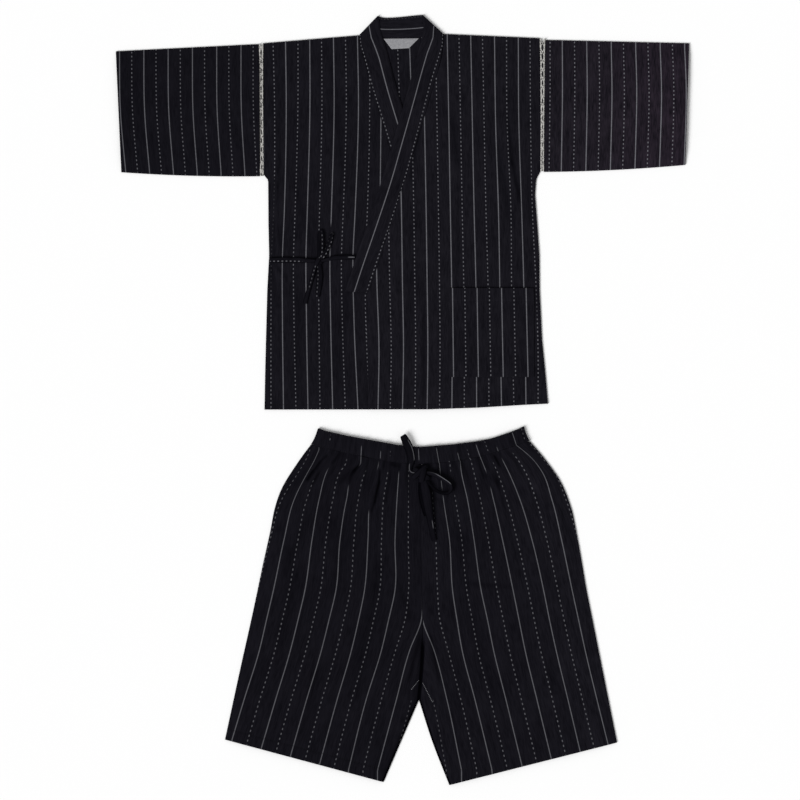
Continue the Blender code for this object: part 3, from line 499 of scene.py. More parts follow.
LEFT_LEG_FOLDS = (
    (0.150, -0.106, 0.172, -0.140, -0.0020, 0.0060),
    (0.166, -0.146, 0.196, -0.166, -0.0014, 0.0110),
    (0.181, -0.112, 0.193, -0.136, 0.0026, 0.0055),
    (0.174, -0.108, 0.190, -0.180, 0.0012, 0.0080),
    (0.146, -0.112, 0.158, -0.160, 0.0014, 0.0070),
    (0.112, -0.118, 0.118, -0.168, 0.0010, 0.0075),
    (0.084, -0.122, 0.086, -0.200, 0.0012, 0.0080),
    (0.066, -0.130, 0.070, -0.180, 0.0010, 0.0070),
    (0.052, -0.134, 0.074, -0.142, -0.0014, 0.0080),
    (0.060, -0.196, 0.090, -0.204, -0.0010, 0.0070),
    (0.212, -0.096, 0.236, -0.150, 0.0013, 0.0080),
    (0.250, -0.100, 0.290, -0.170, 0.0010, 0.0100),
    (0.300, -0.190, 0.330, -0.300, 0.0010, 0.016),
    (0.250, -0.300, 0.310, -0.420, 0.0009, 0.024),
    (0.130, -0.372, 0.225, -0.382, 0.0012, 0.010),
    (0.100, -0.260, 0.115, -0.400, 0.0009, 0.020),
    (0.120, -0.430, 0.170, -0.600, 0.0010, 0.026),
    (0.050, -0.470, 0.070, -0.570, 0.0018, 0.008),
    (0.280, -0.520, 0.320, -0.680, 0.0009, 0.026),
)

# The ties' and the drawstring's routes, repeated from the part, with their widths and tilts.
TIE_WALL = 0.0014
BOW_CENTRE = (-0.1690, 0.2775)
BOW_SIZE = (0.0155, 0.0140, 0.0065)
STRING_WALL = 0.0016
KNOT_CENTRE = (0.0385, -0.1470, 0.0118)
KNOT_SIZE = (0.0240, 0.0300, 0.0090)
PLAIN = ((0.0, 0.5, 0.0), (1.0, 0.5, 0.0))  # marks of a strip on which no stripe shows
STRIP_PAINTED_SHADE = 0.25  # painted shade: how much darker the strips' cloth is painted

# The jacket's ties and their bow: name, node, marks, far end, thickness as a cord, and the route
# of x, y, how far the middle lies above the front, width, tilt.
TIES = (
    (
        "side_tie", "tie_side", ((0.0, 1.09, 1.0), (0.68, 1.09, 1.0), (0.72, 1.09, 0.0)),
        "knot", 0.0105,
        (
            (-0.2650, 0.2795, 0.0, 0.0110, 4), (-0.2500, 0.2798, 0.0002, 0.0112, 8),
            (-0.2350, 0.2800, 0.0004, 0.0112, 10), (-0.2200, 0.2798, 0.0005, 0.0110, 8),
            (-0.2050, 0.2795, 0.0006, 0.0104, 12), (-0.1900, 0.2786, 0.0009, 0.0088, 18),
            (-0.1740, 0.2780, 0.0016, 0.0066, 24),
        ),
    ),
    (
        "front_tie", "tie_front",
        ((0.0, -0.02, 0.0), (0.80, -0.02, 0.0), (0.84, -0.02, 0.9), (1.0, -0.02, 1.0)),
        "object", 0.0085,
        (
            (-0.1640, 0.2775, 0.0016, 0.0060, 20), (-0.1500, 0.2810, 0.0010, 0.0074, 20),
            (-0.1380, 0.2838, 0.0006, 0.0086, 14), (-0.1240, 0.2848, 0.0004, 0.0092, 12),
            (-0.1100, 0.2852, 0.0006, 0.0095, 10), (-0.0960, 0.2850, 0.0010, 0.0095, 6),
        ),
    ),
    (
        "bow_loop_up", "tie_loop_up",
        ((0.0, 1.0, 0.0), (0.50, 1.0, 0.0), (0.56, 1.0, 0.8), (1.0, 1.0, 1.0)),
        "object", 0.0078,
        (
            (-0.1668, 0.2800, 0.0016, 0.0066, 10), (-0.1654, 0.2920, 0.0008, 0.0098, 14),
            (-0.1648, 0.3080, 0.0005, 0.0110, 14), (-0.1645, 0.3240, 0.0005, 0.0108, 12),
            (-0.1636, 0.3345, 0.0008, 0.0098, 6), (-0.1622, 0.3370, 0.0017, 0.0086, 0),
            (-0.1612, 0.3330, 0.0026, 0.0080, -8), (-0.1606, 0.3240, 0.0027, 0.0078, -12),
            (-0.1604, 0.3080, 0.0026, 0.0078, -14), (-0.1616, 0.2920, 0.0023, 0.0070, -8),
            (-0.1650, 0.2810, 0.0022, 0.0058, 0),
        ),
    ),
    (
        "bow_loop_side", "tie_loop_side",
        ((0.0, 0.90, 0.0), (0.55, 0.90, 0.2), (0.64, 0.92, 1.1), (1.0, 0.98, 1.2)),
        "object", 0.0074,
        (
            (-0.1640, 0.2800, 0.0018, 0.0052, 10), (-0.1578, 0.2900, 0.0010, 0.0062, 16),
            (-0.1518, 0.3030, 0.0006, 0.0068, 20), (-0.1462, 0.3170, 0.0006, 0.0068, 18),
            (-0.1420, 0.3290, 0.0009, 0.0062, 8), (-0.1408, 0.3325, 0.0017, 0.0060, 0),
            (-0.1416, 0.3280, 0.0025, 0.0062, -8), (-0.1440, 0.3170, 0.0026, 0.0064, -12),
            (-0.1494, 0.3030, 0.0025, 0.0066, -16), (-0.1552, 0.2900, 0.0024, 0.0060, -10),
            (-0.1625, 0.2805, 0.0024, 0.0050, 0),
        ),
    ),
    (
        "bow_tail_side", "tie_tail_side", ((0.0, 1.0, 0.7), (0.60, 1.0, 0.5), (0.68, 1.0, 0.0)),
        "bare", 0.0080,
        (
            (-0.1715, 0.2745, 0.0012, 0.0056, 10), (-0.1758, 0.2620, 0.0005, 0.0074, 9),
            (-0.1790, 0.2510, 0.0003, 0.0078, 8), (-0.1826, 0.2380, 0.0002, 0.0076, 6),
            (-0.1864, 0.2250, 0.0001, 0.0076, 4), (-0.1912, 0.2080, 0.0001, 0.0086, 2),
            (-0.1946, 0.1930, 0.0001, 0.0094, 0),
        ),
    ),
    (
        "bow_tail_down", "tie_tail_down", ((0.0, 1.18, 0.0), (0.16, 1.18, 0.4), (1.0, 1.10, 0.7)),
        "bare", 0.0105,
        (
            (-0.1665, 0.2740, 0.0014, 0.0070, -10), (-0.1655, 0.2620, 0.0008, 0.0104, -14),
            (-0.1650, 0.2500, 0.0005, 0.0120, -12), (-0.1658, 0.2390, 0.0004, 0.0122, -8),
            (-0.1670, 0.2270, 0.0003, 0.0118, -6), (-0.1682, 0.2160, 0.0003, 0.0092, -4),
            (-0.1690, 0.2060, 0.0003, 0.0066, 0),
        ),
    ),
)

# A knot's wraps: heading in degrees, width, rise and shift sideways, and marks.
BOW_MARKS = ((0.0, 0.0, 0.0), (0.78, 0.0, 0.0), (0.82, 0.0, 1.0), (1.0, 0.0, 1.0))
BOW_WRAPS = ((62, 0.0098, 0.0012, 0.0008, BOW_MARKS), (-20, 0.0078, 0.0004, -0.0012, PLAIN))
KNOT_WRAPS = (
    (78, 0.0140, 0.0016, -0.0020, PLAIN),
    (40, 0.0120, 0.0008, 0.0048, PLAIN),
    (-35, 0.0130, 0.0002, -0.0010, PLAIN),
)

# The drawstring: the same, but its routes hold x, y, z, width, tilt.
STRING = (
    (
        "string_up", "string_loop_up",
        (
            (0.0, -0.10, 0.6), (0.26, -0.10, 1.0), (0.30, -0.10, 0.0), (0.36, 0.23, 0.0),
            (0.40, 0.25, 1.1), (0.70, 0.25, 1.1), (0.82, 0.20, 1.0), (0.86, 0.18, 0.0),
        ),
        "object", 0.0120,
        (
            (0.0270, -0.1428, 0.0102, 0.0062, 20), (0.0205, -0.1432, 0.0096, 0.0062, 26),
            (0.0160, -0.1395, 0.0090, 0.0068, 22), (0.0158, -0.1320, 0.0087, 0.0100, 12),
            (0.0172, -0.1230, 0.0086, 0.0140, 8), (0.0168, -0.1130, 0.0086, 0.0164, 8),
            (0.0142, -0.1010, 0.0086, 0.0176, 8), (0.0100, -0.0900, 0.0086, 0.0180, 8),
            (0.0056, -0.0800, 0.0086, 0.0162, 8), (0.0018, -0.0728, 0.0088, 0.0134, 8),
            (0.0004, -0.0704, 0.0089, 0.0104, 6),
        ),
    ),
    (
        "string_loop", "string_loop_right",
        (
            (0.0, -0.14, 0.0), (0.14, -0.14, 0.2), (0.19, -0.14, 1.0), (0.42, -0.14, 1.0),
            (0.45, -0.14, 0.0),
        ),
        "knot", 0.0090,
        (
            (0.0460, -0.1462, 0.0120, 0.0080, 24), (0.0550, -0.1466, 0.0118, 0.0084, 28),
            (0.0640, -0.1490, 0.0117, 0.0088, 32), (0.0730, -0.1538, 0.0115, 0.0090, 34),
            (0.0820, -0.1594, 0.0113, 0.0092, 36), (0.0908, -0.1652, 0.0110, 0.0092, 40),
            (0.0966, -0.1712, 0.0108, 0.0090, 44), (0.0972, -0.1782, 0.0106, 0.0088, 44),
            (0.0930, -0.1842, 0.0104, 0.0086, 42), (0.0850, -0.1862, 0.0103, 0.0084, 38),
            (0.0750, -0.1842, 0.0103, 0.0080, 36), (0.0655, -0.1788, 0.0104, 0.0076, 34),
            (0.0570, -0.1704, 0.0106, 0.0072, 32), (0.0495, -0.1610, 0.0110, 0.0068, 30),
        ),
    ),
    (
        "string_end_long", "string_tail_long",
        (
            (0.0, -0.12, 0.0), (0.66, -0.12, 0.0), (0.69, -0.12, 0.8), (0.78, -0.12, 0.8),
            (0.81, -0.12, 0.0),
        ),
        "bare", 0.0160,
        (
            (0.0422, -0.1600, 0.0108, 0.0136, 4), (0.0442, -0.1720, 0.0104, 0.0176, 7),
            (0.0468, -0.1850, 0.0098, 0.0198, 8), (0.0490, -0.1980, 0.0093, 0.0196, 7),
            (0.0510, -0.2110, 0.0089, 0.0182, 6), (0.0532, -0.2240, 0.0085, 0.0164, 5),
            (0.0556, -0.2360, 0.0081, 0.0148, 4), (0.0576, -0.2490, 0.0077, 0.0132, 3),
            (0.0594, -0.2610, 0.0072, 0.0120, 2), (0.0614, -0.2720, 0.0068, 0.0112, 0),
            (0.0634, -0.2810, 0.0066, 0.0102, 0),
        ),
    ),
    (
        "string_end_short", "string_tail_short", PLAIN, "bare", 0.0112,
        (
            (0.0378, -0.1620, 0.0080, 0.0116, -4), (0.0382, -0.1730, 0.0076, 0.0132, -6),
            (0.0388, -0.1850, 0.0072, 0.0146, -5), (0.0404, -0.1970, 0.0069, 0.0148, -4),
            (0.0426, -0.2080, 0.0067, 0.0144, -2), (0.0456, -0.2200, 0.0064, 0.0134, 0),
            (0.0490, -0.2310, 0.0062, 0.0122, 0),
        ),
    ),
)
# Painted shade on the drawstring's tails, deepest on the short tail.
STRING_PAINTED_SHADE = {"string_end_long": 0.30, "string_end_short": 0.75}


def mesh_piece(name, points, faces, uvs, material):
    """One closed mesh, riding on the root body. Its UV maps hold the cloth's lengths, how its
    stripes show and its painted light and shade, for each point or for each corner of each face.
    """
    mesh = bpy.data.meshes.new(name)
    mesh.from_pydata(np.reshape(points, (-1, 3)).tolist(), [], faces)
    layers = [mesh.uv_layers.new(name=layer) for layer in uvs]
    corners = np.concatenate([np.asarray(face) for face in faces])
    for layer, values in zip(layers, uvs.values()):
        values = np.asarray(values, np.float32)
        per_corner = values if len(values) == len(corners) else values[corners]
        layer.data.foreach_set("uv", per_corner.ravel())
    mesh.materials.append(material)
    shape = bmesh.new()
    shape.from_mesh(mesh)
    bmesh.ops.recalc_face_normals(shape, faces=shape.faces)
    shape.to_mesh(mesh)
    shape.free()
    mesh.shade_smooth()
    mesh.set_sharp_from_angle(angle=math.radians(SHARP_ANGLE))
    piece = bpy.data.objects.new(name, mesh)
    bpy.context.scene.collection.objects.link(piece)
    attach(piece, "root")
    return piece


def cells(rows, columns, order):
    """The row and the column of each corner of every cell of a grid, one corner after another."""
    row, column = (numbers.ravel() for numbers in np.indices((rows, columns)))
    return [(row + r, column + c) for r, c in order]


def rounded(outer, inner, around):
    """The two faces of a wall drawn together at its open edges."""
    outer, inner = outer.copy(), inner.copy()
    edge = np.zeros(outer.shape[:2], bool)
    edge[[0, -1], :] = True
    if not around:
        edge[:, [0, -1]] = True
    outside, inside = outer[edge].copy(), inner[edge].copy()
    outer[edge] = lerp(outside, inside, EDGE_ROUND)
    inner[edge] = lerp(inside, outside, EDGE_ROUND)
    return outer, inner


def shell(name, outer, inner, uvs, material, around=False):
    """A closed shell between two grids of points, which may close on itself round its columns.
    Each UV grid has one column more than the points where the shell does.
    """
    outer, inner = rounded(outer, inner, around)
    rows, columns = outer.shape[:2]
    across, down = np.arange(columns if around else columns - 1), np.arange(rows - 1)
    faces, places = [], []

    def add(at, levels, back):
        """Faces from their corners' rows and columns. Level 0 is outside, and level 1 inside."""
        numbers = [(level * rows + r) * columns + c % columns for (r, c), level in zip(at, levels)]
        faces.append(np.stack(numbers[::-1] if back else numbers, -1))
        places.append(at[::-1] if back else at)

    grid = cells(len(down), len(across), ((0, 0), (1, 0), (1, 1), (0, 1)))
    add(grid, (0, 0, 0, 0), False)
    add(grid, (1, 1, 1, 1), True)
    for row, back in ((0, False), (rows - 1, True)):
        add([(row, across + c) for c in (0, 1, 1, 0)], (0, 0, 1, 1), back)
    if not around:
        for column, back in ((0, True), (columns - 1, False)):
            add([(down + r, column) for r in (0, 1, 1, 0)], (0, 0, 1, 1), back)
    maps = {}
    for layer, values in uvs.items():
        parts = [np.stack([values[r, c] for r, c in at], 1).reshape(-1, 2) for at in places]
        maps[layer] = np.concatenate(parts)
    return mesh_piece(name, [outer, inner], np.concatenate(faces).tolist(), maps, material)


def tube_faces(rows, columns):
    """The corners of every cell of a tube of rings, and all its faces with the two ends."""
    at = cells(rows - 1, columns, ((0, 0), (0, 1), (1, 1), (1, 0)))
    walls = np.stack([r * columns + c % columns for r, c in at], -1).tolist()
    ring = list(range(columns))
    return at, [*walls, ring[::-1], [(rows - 1) * columns + corner for corner in ring]]


def solid_strip(name, rings, uvs, material):
    """A closed body through rings of points, with flat ends."""
    rows, columns = rings.shape[:2]
    at, faces = tube_faces(rows, columns)
    maps = {}
    for layer, values in uvs.items():
        wall = np.stack([values[r, c] for r, c in at], 1).reshape(-1, 2)
        maps[layer] = np.concatenate([wall, values[0, :columns][::-1], values[-1, :columns]])
    return mesh_piece(name, rings, faces, maps, material)


def edged(count, size, extra=()):
    """Shares of the way along size, evenly spread, with a close one beside each end."""
    inner = EDGE / size
    marks = [0.0, inner, 2.5 * inner, 1.0 - 2.5 * inner, 1.0 - inner, 1.0, *extra]
    return np.unique([*marks, *np.linspace(0.01, 0.99, count)])


def hem_marks(size, hem, at_end=True):
    """Shares of the way along size where a hem's stitching lies."""
    marks = [(hem + offset) / size for offset in HEM_OFFSETS]
    return [1.0 - mark for mark in marks] if at_end else marks


def fold_places(x, y, fold):
    """How far along a fold each place lies, as a share of it, and how far off, in half widths."""
    top_x, top_y, foot_x, foot_y, _, half_width = fold
    run_x, run_y = foot_x - top_x, foot_y - top_y
    length = math.hypot(run_x, run_y)
    along = ((x - top_x) * run_x + (y - top_y) * run_y) / length**2
    return along, ((x - top_x) * run_y - (y - top_y) * run_x) / length / half_width


def ridges(x, y, folds):
    """The height of soft folds at each place."""
    height = np.zeros_like(x)
    for fold in folds:
        along, off = fold_places(x, y, fold)
        off = off / np.where(off * fold[4] < 0, FOLD_STEEP, FOLD_GENTLE)
        fade = smooth((along + 0.25) / 0.4) * smooth((1.25 - along) / 0.7)
        height += fold[4] * fade * np.exp(-off * off)
    return height


def painted_fold_shade(x, y, folds):
    """The painted shade beside each fold, along its steep side or in its trough: 1 beside a
    fold as high as DEEP_FOLD.
    """
    dark = np.zeros_like(x)
    for fold in folds:
        along, off = fold_places(x, y, fold)
        off = (off + 0.65) / 0.45 if fold[4] > 0 else off / 0.7
        fade = smooth((along + 0.15) / 0.3) * smooth((1.15 - along) / 0.3)
        dark += abs(fold[4]) / DEEP_FOLD * fade * np.exp(-off * off)
    return np.minimum(dark, DARKEST_PAINTED_FOLD_SHADE)


def swell(x, y):
    """Broad soft waves across the cloth, from 0 to 1."""
    turn = 2.0 * math.pi / SWELL_WAVE
    return 0.5 + 0.5 * np.sin(turn * x + SWELL_SWAY * np.sin(SWELL_SWAY_RATE * turn * y))


def ripple(x, y):
    """The cloth's small unevenness, from 0 to 1: long waves down its length, never quite straight."""
    lean = 0.9 * np.sin(9.0 * y + 1.3) + 0.5 * np.sin(23.0 * y + 0.4)
    first = np.sin(62.0 * x + lean)
    second = np.sin(107.0 * x - 1.7 * lean + 5.0 * y)
    return 0.5 + 0.3 * first * np.sin(7.0 * y + 2.0) + 0.2 * second * np.sin(15.0 * y + 9.0 * x)


def relief(x, y):
    """What the fronts do together, above the part's own form."""
    from_right = smooth((x - SIDES.at(y, "right")) / RELIEF_SIDE)
    from_left = smooth((SIDES.at(y, "left") - x) / RELIEF_SIDE)
    from_top = smooth((TOP.at(x, "front") - y) / RELIEF_END)
    from_hem = smooth((y - HEM.at(x, "y") + RELIEF_AT_HEM) / RELIEF_END)
    ups = ridges(x, y, JACKET_FOLDS) + JACKET_RIPPLE * ripple(x, y)
    return from_right * from_left * (from_top * from_hem) * ups


def hem_relief(distance, hem):
    """A hem lies a little thicker than the cloth, and its stitching draws it down."""
    thicker = HEM_THICKER * smooth((hem - distance) / 0.0016 + 0.5)
    return thicker - HEM_DRAWN * np.exp(-(((distance - hem) / 0.0009) ** 2))


def under_height(x, y):
    """The underside of the inner front."""
    from_side = smooth((x - SIDES.at(y, "right")) / SETTLE)
    from_top = smooth((TOP.at(x, "front") - y) / SETTLE)
    return FIRST_LAYER + from_side * from_top * (SWELL_LIFT + SWELL * swell(x, y)) + relief(x, y)


def over_height(x, y):
    """The underside of the outer front."""
    from_side = smooth((SIDES.at(y, "left") - x) / CLIMB_RUN)
    from_top = smooth((TOP.at(x, "front") - y) / CLIMB_DROP)
    return FIRST_LAYER + CLIMB * from_side * from_top + relief(x, y)


def on_inner_front(x, y):
    """The top of the inner front at one place."""
    return float(under_height(np.array([x]), np.array([y]))[0]) + WALL


def striped(stripes, x, along, down, shows=None, scale=1.0, lift=0.0):
    """The UV maps of a striped piece: the cloth's lengths, and how strongly its stripes show
    beside lift, the painted light on its ground, which below 0 is painted shade.
    """
    number = stripes.number(x, along)
    strength = np.ones_like(x) if shows is None else shows.at(number, along)
    return {"cloth": joined(number * PITCH, down / scale), "shows": joined(strength, lift)}


STITCH_PITCH, STITCH_LENGTH, STITCH_WIDTH = 0.0032, 0.0021, 0.0005
STITCH_PROUD = 0.00022
# One stitch: four corners on the cloth and four above them.
STITCH_FACES = (
    (3, 2, 1, 0), (4, 5, 6, 7), (0, 1, 4), (1, 5, 4), (1, 2, 5), (2, 6, 5), (2, 3, 6), (3, 7, 6),
    (3, 0, 7), (0, 4, 7),
)


def stitched(line):
    """Stitches along a line of points on the cloth: for each its two ends."""
    along = distances(line)
    starts = np.arange(0.5 * STITCH_PITCH, along[-1] - STITCH_PITCH, STITCH_PITCH)
    ends = [
        joined(*(np.interp(place, along, line[:, axis]) for axis in range(3)))
        for place in (starts, starts + STITCH_LENGTH)
    ]
    return np.stack(ends, 1)


def sew(name, lines, material, width=STITCH_WIDTH):
    """One piece of thread for all the lines of stitches of one garment."""
    ends = np.concatenate([stitched(line) for line in lines])
    near, far, middle = ends[:, 0], ends[:, 1], ends.mean(1)
    ahead = far - near
    side = joined(-ahead[:, 1], ahead[:, 0], 0.0)
    side *= 0.5 * width / np.linalg.norm(side, axis=1)[:, None]
    above = [
        lerp(end, middle, 0.5) + half * side + np.array([0.0, 0.0, STITCH_PROUD])
        for end, half in ((near, -0.5), (far, -0.5), (far, 0.5), (near, 0.5))
    ]
    points = np.stack([near, middle - side, far, middle + side, *above], 1).reshape(-1, 3)
    faces = [
        tuple(8 * stitch + corner for corner in face)
        for stitch in range(len(ends)) for face in STITCH_FACES
    ]
    uvs = {"cloth": points[:, :2], "shows": np.zeros((len(points), 2))}
    return mesh_piece(name, points, faces, uvs, material)


JACKET_LENGTH, JACKET_HEM = 0.745, 0.010


def panel_places(inner, outer, top, rows, columns):
    """The places of a jacket panel's grid, from the edge called inner to the edge called outer."""
    across, down = columns[None, :], rows[:, None]
    x = lerp(inner(0.7), outer(0.7), across + 0 * down)  # a first guess, close to the top
    for _ in range(5):
        y = lerp(TOP.at(x, top), HEM.at(x, "y"), down)
        x = lerp(inner(y), outer(y), across)
    return x, y


def build_panel(name, inner, outer, top, size, height, stripes, shows, lift, cloth):
    """A panel of the jacket's body. The answer is the piece and the line of its hem's stitches."""
    rows = edged(150, JACKET_LENGTH, hem_marks(JACKET_LENGTH, JACKET_HEM))
    x, y = panel_places(inner, outer, top, rows, edged(*size))
    z = height(x, y)
    thickness = WALL + hem_relief(y - HEM.at(x, "y"), JACKET_HEM)
    outside, inside = joined(x, y, z + thickness), joined(x, y, z)
    # Painted shade beside the jacket's folds darkens the fronts' ground.
    if top == "front":
        lift = lift - FOLD_SHADE * painted_fold_shade(x, y, JACKET_FOLDS)
    uvs = striped(stripes, x, y, distances(inside), shows, lift=lift)
    piece = shell(name, outside, inside, uvs, cloth)
    return piece, outside[nearest(rows, 1.0 - JACKET_HEM / JACKET_LENGTH)]


def build_body(cloth):
    """The back and the two fronts. The answer is the back, the outer front and lines to sew."""

    def side(name):
        return lambda y: SIDES.at(y, name)

    def edge(name):
        return lambda y: FRONT_EDGES.smooth_at(y, name)

    def flat(x, y):
        return np.zeros_like(x)

    # Each panel's lift is painted light: the fronts more than the back, and the outer front, at +X,
    # most.
    back, _ = build_panel(
        "back_cloth", side("right"), side("left"), "back", (90, 0.55), flat, BACK_STRIPES,
        BACK_SHOWS, 0.1, cloth
    )
    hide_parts("jacket_back")
    under, under_hem = build_panel(
        "inner_front", side("right"), edge("under"), "front", (100, 0.30), under_height,
        UNDER_STRIPES, UNDER_SHOWS, 0.15, cloth
    )
    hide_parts("front_under")
    over, over_hem = build_panel(
        "outer_front", edge("over"), side("left"), "front", (110, 0.30), over_height,
        OVER_STRIPES, OVER_SHOWS, 0.3, cloth
    )
    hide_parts("front_over")
    seen = under_hem[under_hem[:, 0] < FRONT_EDGES.at(0.0, "over") - 0.002]
    return back, over, [seen, over_hem]


POCKET_HEM = 0.026
POCKET_LIFT = 0.0004  # how far it stands off between its seams
POCKET_GAPE, POCKET_GAPE_RUN = 0.0014, 0.05  # and how much more at its mouth, and how far down
POCKET_SOFT = 0.02
POCKET_SEAM = 0.012  # share of the pocket's width from its edge to its stitching


def build_pocket(cloth):
    rows = edged(50, POCKET_HEIGHT, hem_marks(POCKET_HEIGHT, POCKET_HEM, at_end=False))
    columns = edged(50, POCKET_WIDTH)
    corner_x, corner_y = POCKET_CORNER
    x, y = np.meshgrid(corner_x + POCKET_WIDTH * columns, corner_y + POCKET_HEIGHT * (1.0 - rows))
    from_top = corner_y + POCKET_HEIGHT - y
    share = (x - corner_x) / POCKET_WIDTH
    bulge = smooth(8.0 * share) * smooth(8.0 * (1.0 - share)) * smooth((y - corner_y) / POCKET_SOFT)
    z = over_height(x, y) + WALL + LAYER * 0.5
    z = z + bulge * (POCKET_LIFT + POCKET_GAPE * smooth(1.0 - from_top / POCKET_GAPE_RUN))
    outside = joined(x, y, z + (WALL + hem_relief(from_top, POCKET_HEM)))
    inside = joined(x, y, z)
    # The pocket's ground is given painted light.
    uvs = striped(POCKET_STRIPES, x, y, distances(inside), lift=0.25)
    piece = shell("patch_pocket", outside, inside, uvs, cloth)
    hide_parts("pocket")
    near, far = nearest(columns, POCKET_SEAM), nearest(columns, 1.0 - POCKET_SEAM)
    foot, top = nearest(rows, 1.0 - POCKET_SEAM), nearest(rows, POCKET_HEM / POCKET_HEIGHT)
    sides = [outside[:foot, near], outside[:foot, far]]
    return sides + [outside[foot, near:far], outside[top, near:far]]


COLLAR_WIDTH = 0.045
COLLAR_SHARES = edged(26, COLLAR_WIDTH)  # of the way from the band's seam to its free edge
COLLAR_STITCHES = 0.05  # the share at which it is stitched
# From the band's free edge to its stripes, by how far along it lies from the side of the neck.
UNDER_COLLAR = Table(
    "far solid dotted", (0.0, 0.0262, 0.0525), (0.03, 0.0225, 0.0485), (0.07, 0.0190, 0.0474),
    (0.115, 0.0186, 0.0466), (0.155, 0.0186, 0.0448), (0.50, 0.0186, 0.0432),
)
OVER_COLLAR = Table(
    "far solid dotted", (0.0, 0.0315, 0.0560), (0.025, 0.0245, 0.0485), (0.06, 0.0200, 0.0455),
    (0.12, 0.0188, 0.0430), (0.50, 0.0186, 0.0430),
)
NECK_SOLID = 0.575  # and on its inner face behind the neck, as shares of its width
NECK_DOTTED = 0.07
NECK_FAINT = 0.25
COLLAR_CROWN = 0.0005 * (1.0 - (2.0 * COLLAR_SHARES - 1.0) ** 2)  # fuller along its middle
COLLAR_TAPER = 0.0009 * np.exp(-(((1.0 - COLLAR_SHARES) * COLLAR_WIDTH / 0.0016) ** 2))


def band_lines(rows, first, last, count):
    """Lines across the band, through rows of the places of its seam and its free edge."""
    values = curve(np.linspace(first, last, count), np.arange(len(rows)), rows)
    x, y = (lerp(values[:, n:n + 1], values[:, n + 2:n + 3], COLLAR_SHARES) for n in (0, 1))
    return x, y, values[:, 4:]


def run_lines(rows, lift):
    """The outer and the inner face's lines of the band on a front, thin at its folded edge."""
    x, y, z = band_lines(rows, 0, len(rows) - 1, 90)
    z = z + lift(x, y)
    return [joined(x, y, z + DOUBLE + (COLLAR_CROWN - COLLAR_TAPER)), joined(x, y, z)]


def fold_lines(fold, outwards):
    """The band as it turns over at the side of the neck."""
    seam_x, seam_y, free_x, free_y = fold
    length = math.hypot(free_x - seam_x, free_y - seam_y)
    out = (-outwards * (free_y - seam_y) / length, outwards * (free_x - seam_x) / length)
    angles = np.radians(np.linspace(84.0, -84.0, 12))[:, None]
    faces = []
    for radius in (FOLD_RADIUS, FOLD_RADIUS - DOUBLE):
        shift = radius * np.cos(angles) - FOLD_RADIUS
        x = lerp(seam_x, free_x, COLLAR_SHARES) + out[0] * shift
        y = lerp(seam_y, free_y, COLLAR_SHARES) + out[1] * shift
        faces.append(joined(x, y, FOLD_RADIUS + radius * np.sin(angles)))
    return faces


def neck_lines():
    """The band behind the neck, where its inner face lies uppermost."""
    rows = (RIGHT_FOLD, *BACK_NECK, LEFT_FOLD)
    x, y, _ = band_lines(rows, 0.1, len(rows) - 1.1, 30)
    return [joined(x, y, 0.0), joined(x, y, DOUBLE + COLLAR_CROWN)]


def build_collar(cloth):
    """One band, folded double: up the inner front, round the neck and down the outer front."""

    def under_lift(x, y):
        return relief(x, y) + 0.4 * (under_height(x, y) - relief(x, y) - FIRST_LAYER)

    parts = [
        [grid[::-1] for grid in run_lines(UNDER_RUN, under_lift)],
        fold_lines(RIGHT_FOLD, 1),
        neck_lines(),
        [grid[::-1] for grid in fold_lines(LEFT_FOLD, -1)],
        run_lines(OVER_RUN, relief),
    ]
    outer, inner = (np.concatenate([part[face] for part in parts]) for face in (0, 1))
    along = distances(outer[:, outer.shape[1] // 2])
    width = np.linalg.norm(outer[:, -1] - outer[:, 0], axis=1)
    from_free = width[:, None] * (1.0 - COLLAR_SHARES)
    under_end, over_start = len(parts[0][0]), len(outer) - len(parts[-1][0])
    under_far = np.maximum(along[under_end] - along, 0.0)
    over_far = np.maximum(along - along[over_start - 1], 0.0)
    before = np.arange(len(outer)) < (under_end + over_start) // 2
    solid, dotted = (
        np.where(before, UNDER_COLLAR.at(under_far, name), OVER_COLLAR.at(over_far, name))[:, None]
        for name in ("solid", "dotted")
    )
    outer_map = joined(PITCH * (from_free - solid) / (dotted - solid), along[:, None])
    neck_place = (1.0 - COLLAR_SHARES - NECK_SOLID) / (NECK_SOLID - NECK_DOTTED)
    inner_map = joined(PITCH * neck_place, along[:, None])
    cloth_map = closed(np.concatenate([outer_map, inner_map[:, ::-1]], 1))
    shown = (outer_map[..., 0] > -0.5 * PITCH).astype(float)
    neck = inner_map[..., 0] / PITCH
    inner_shows = np.where(neck < -0.5, NECK_FAINT, np.where(neck > 0.5, 0.0, 1.0))
    strength = closed(np.concatenate([shown, inner_shows[:, ::-1]], 1))
    rings = np.concatenate([outer, inner[:, ::-1]], 1)
    # The band's ground is given a little painted light.
    uvs = {"cloth": cloth_map, "shows": joined(strength, 0.2)}
    piece = solid_strip("collar_band", rings, uvs, cloth)
    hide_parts("collar")
    seam = nearest(COLLAR_SHARES, COLLAR_STITCHES)
    return [outer[:under_end - 2, seam], outer[over_start + 2:-1, seam]]


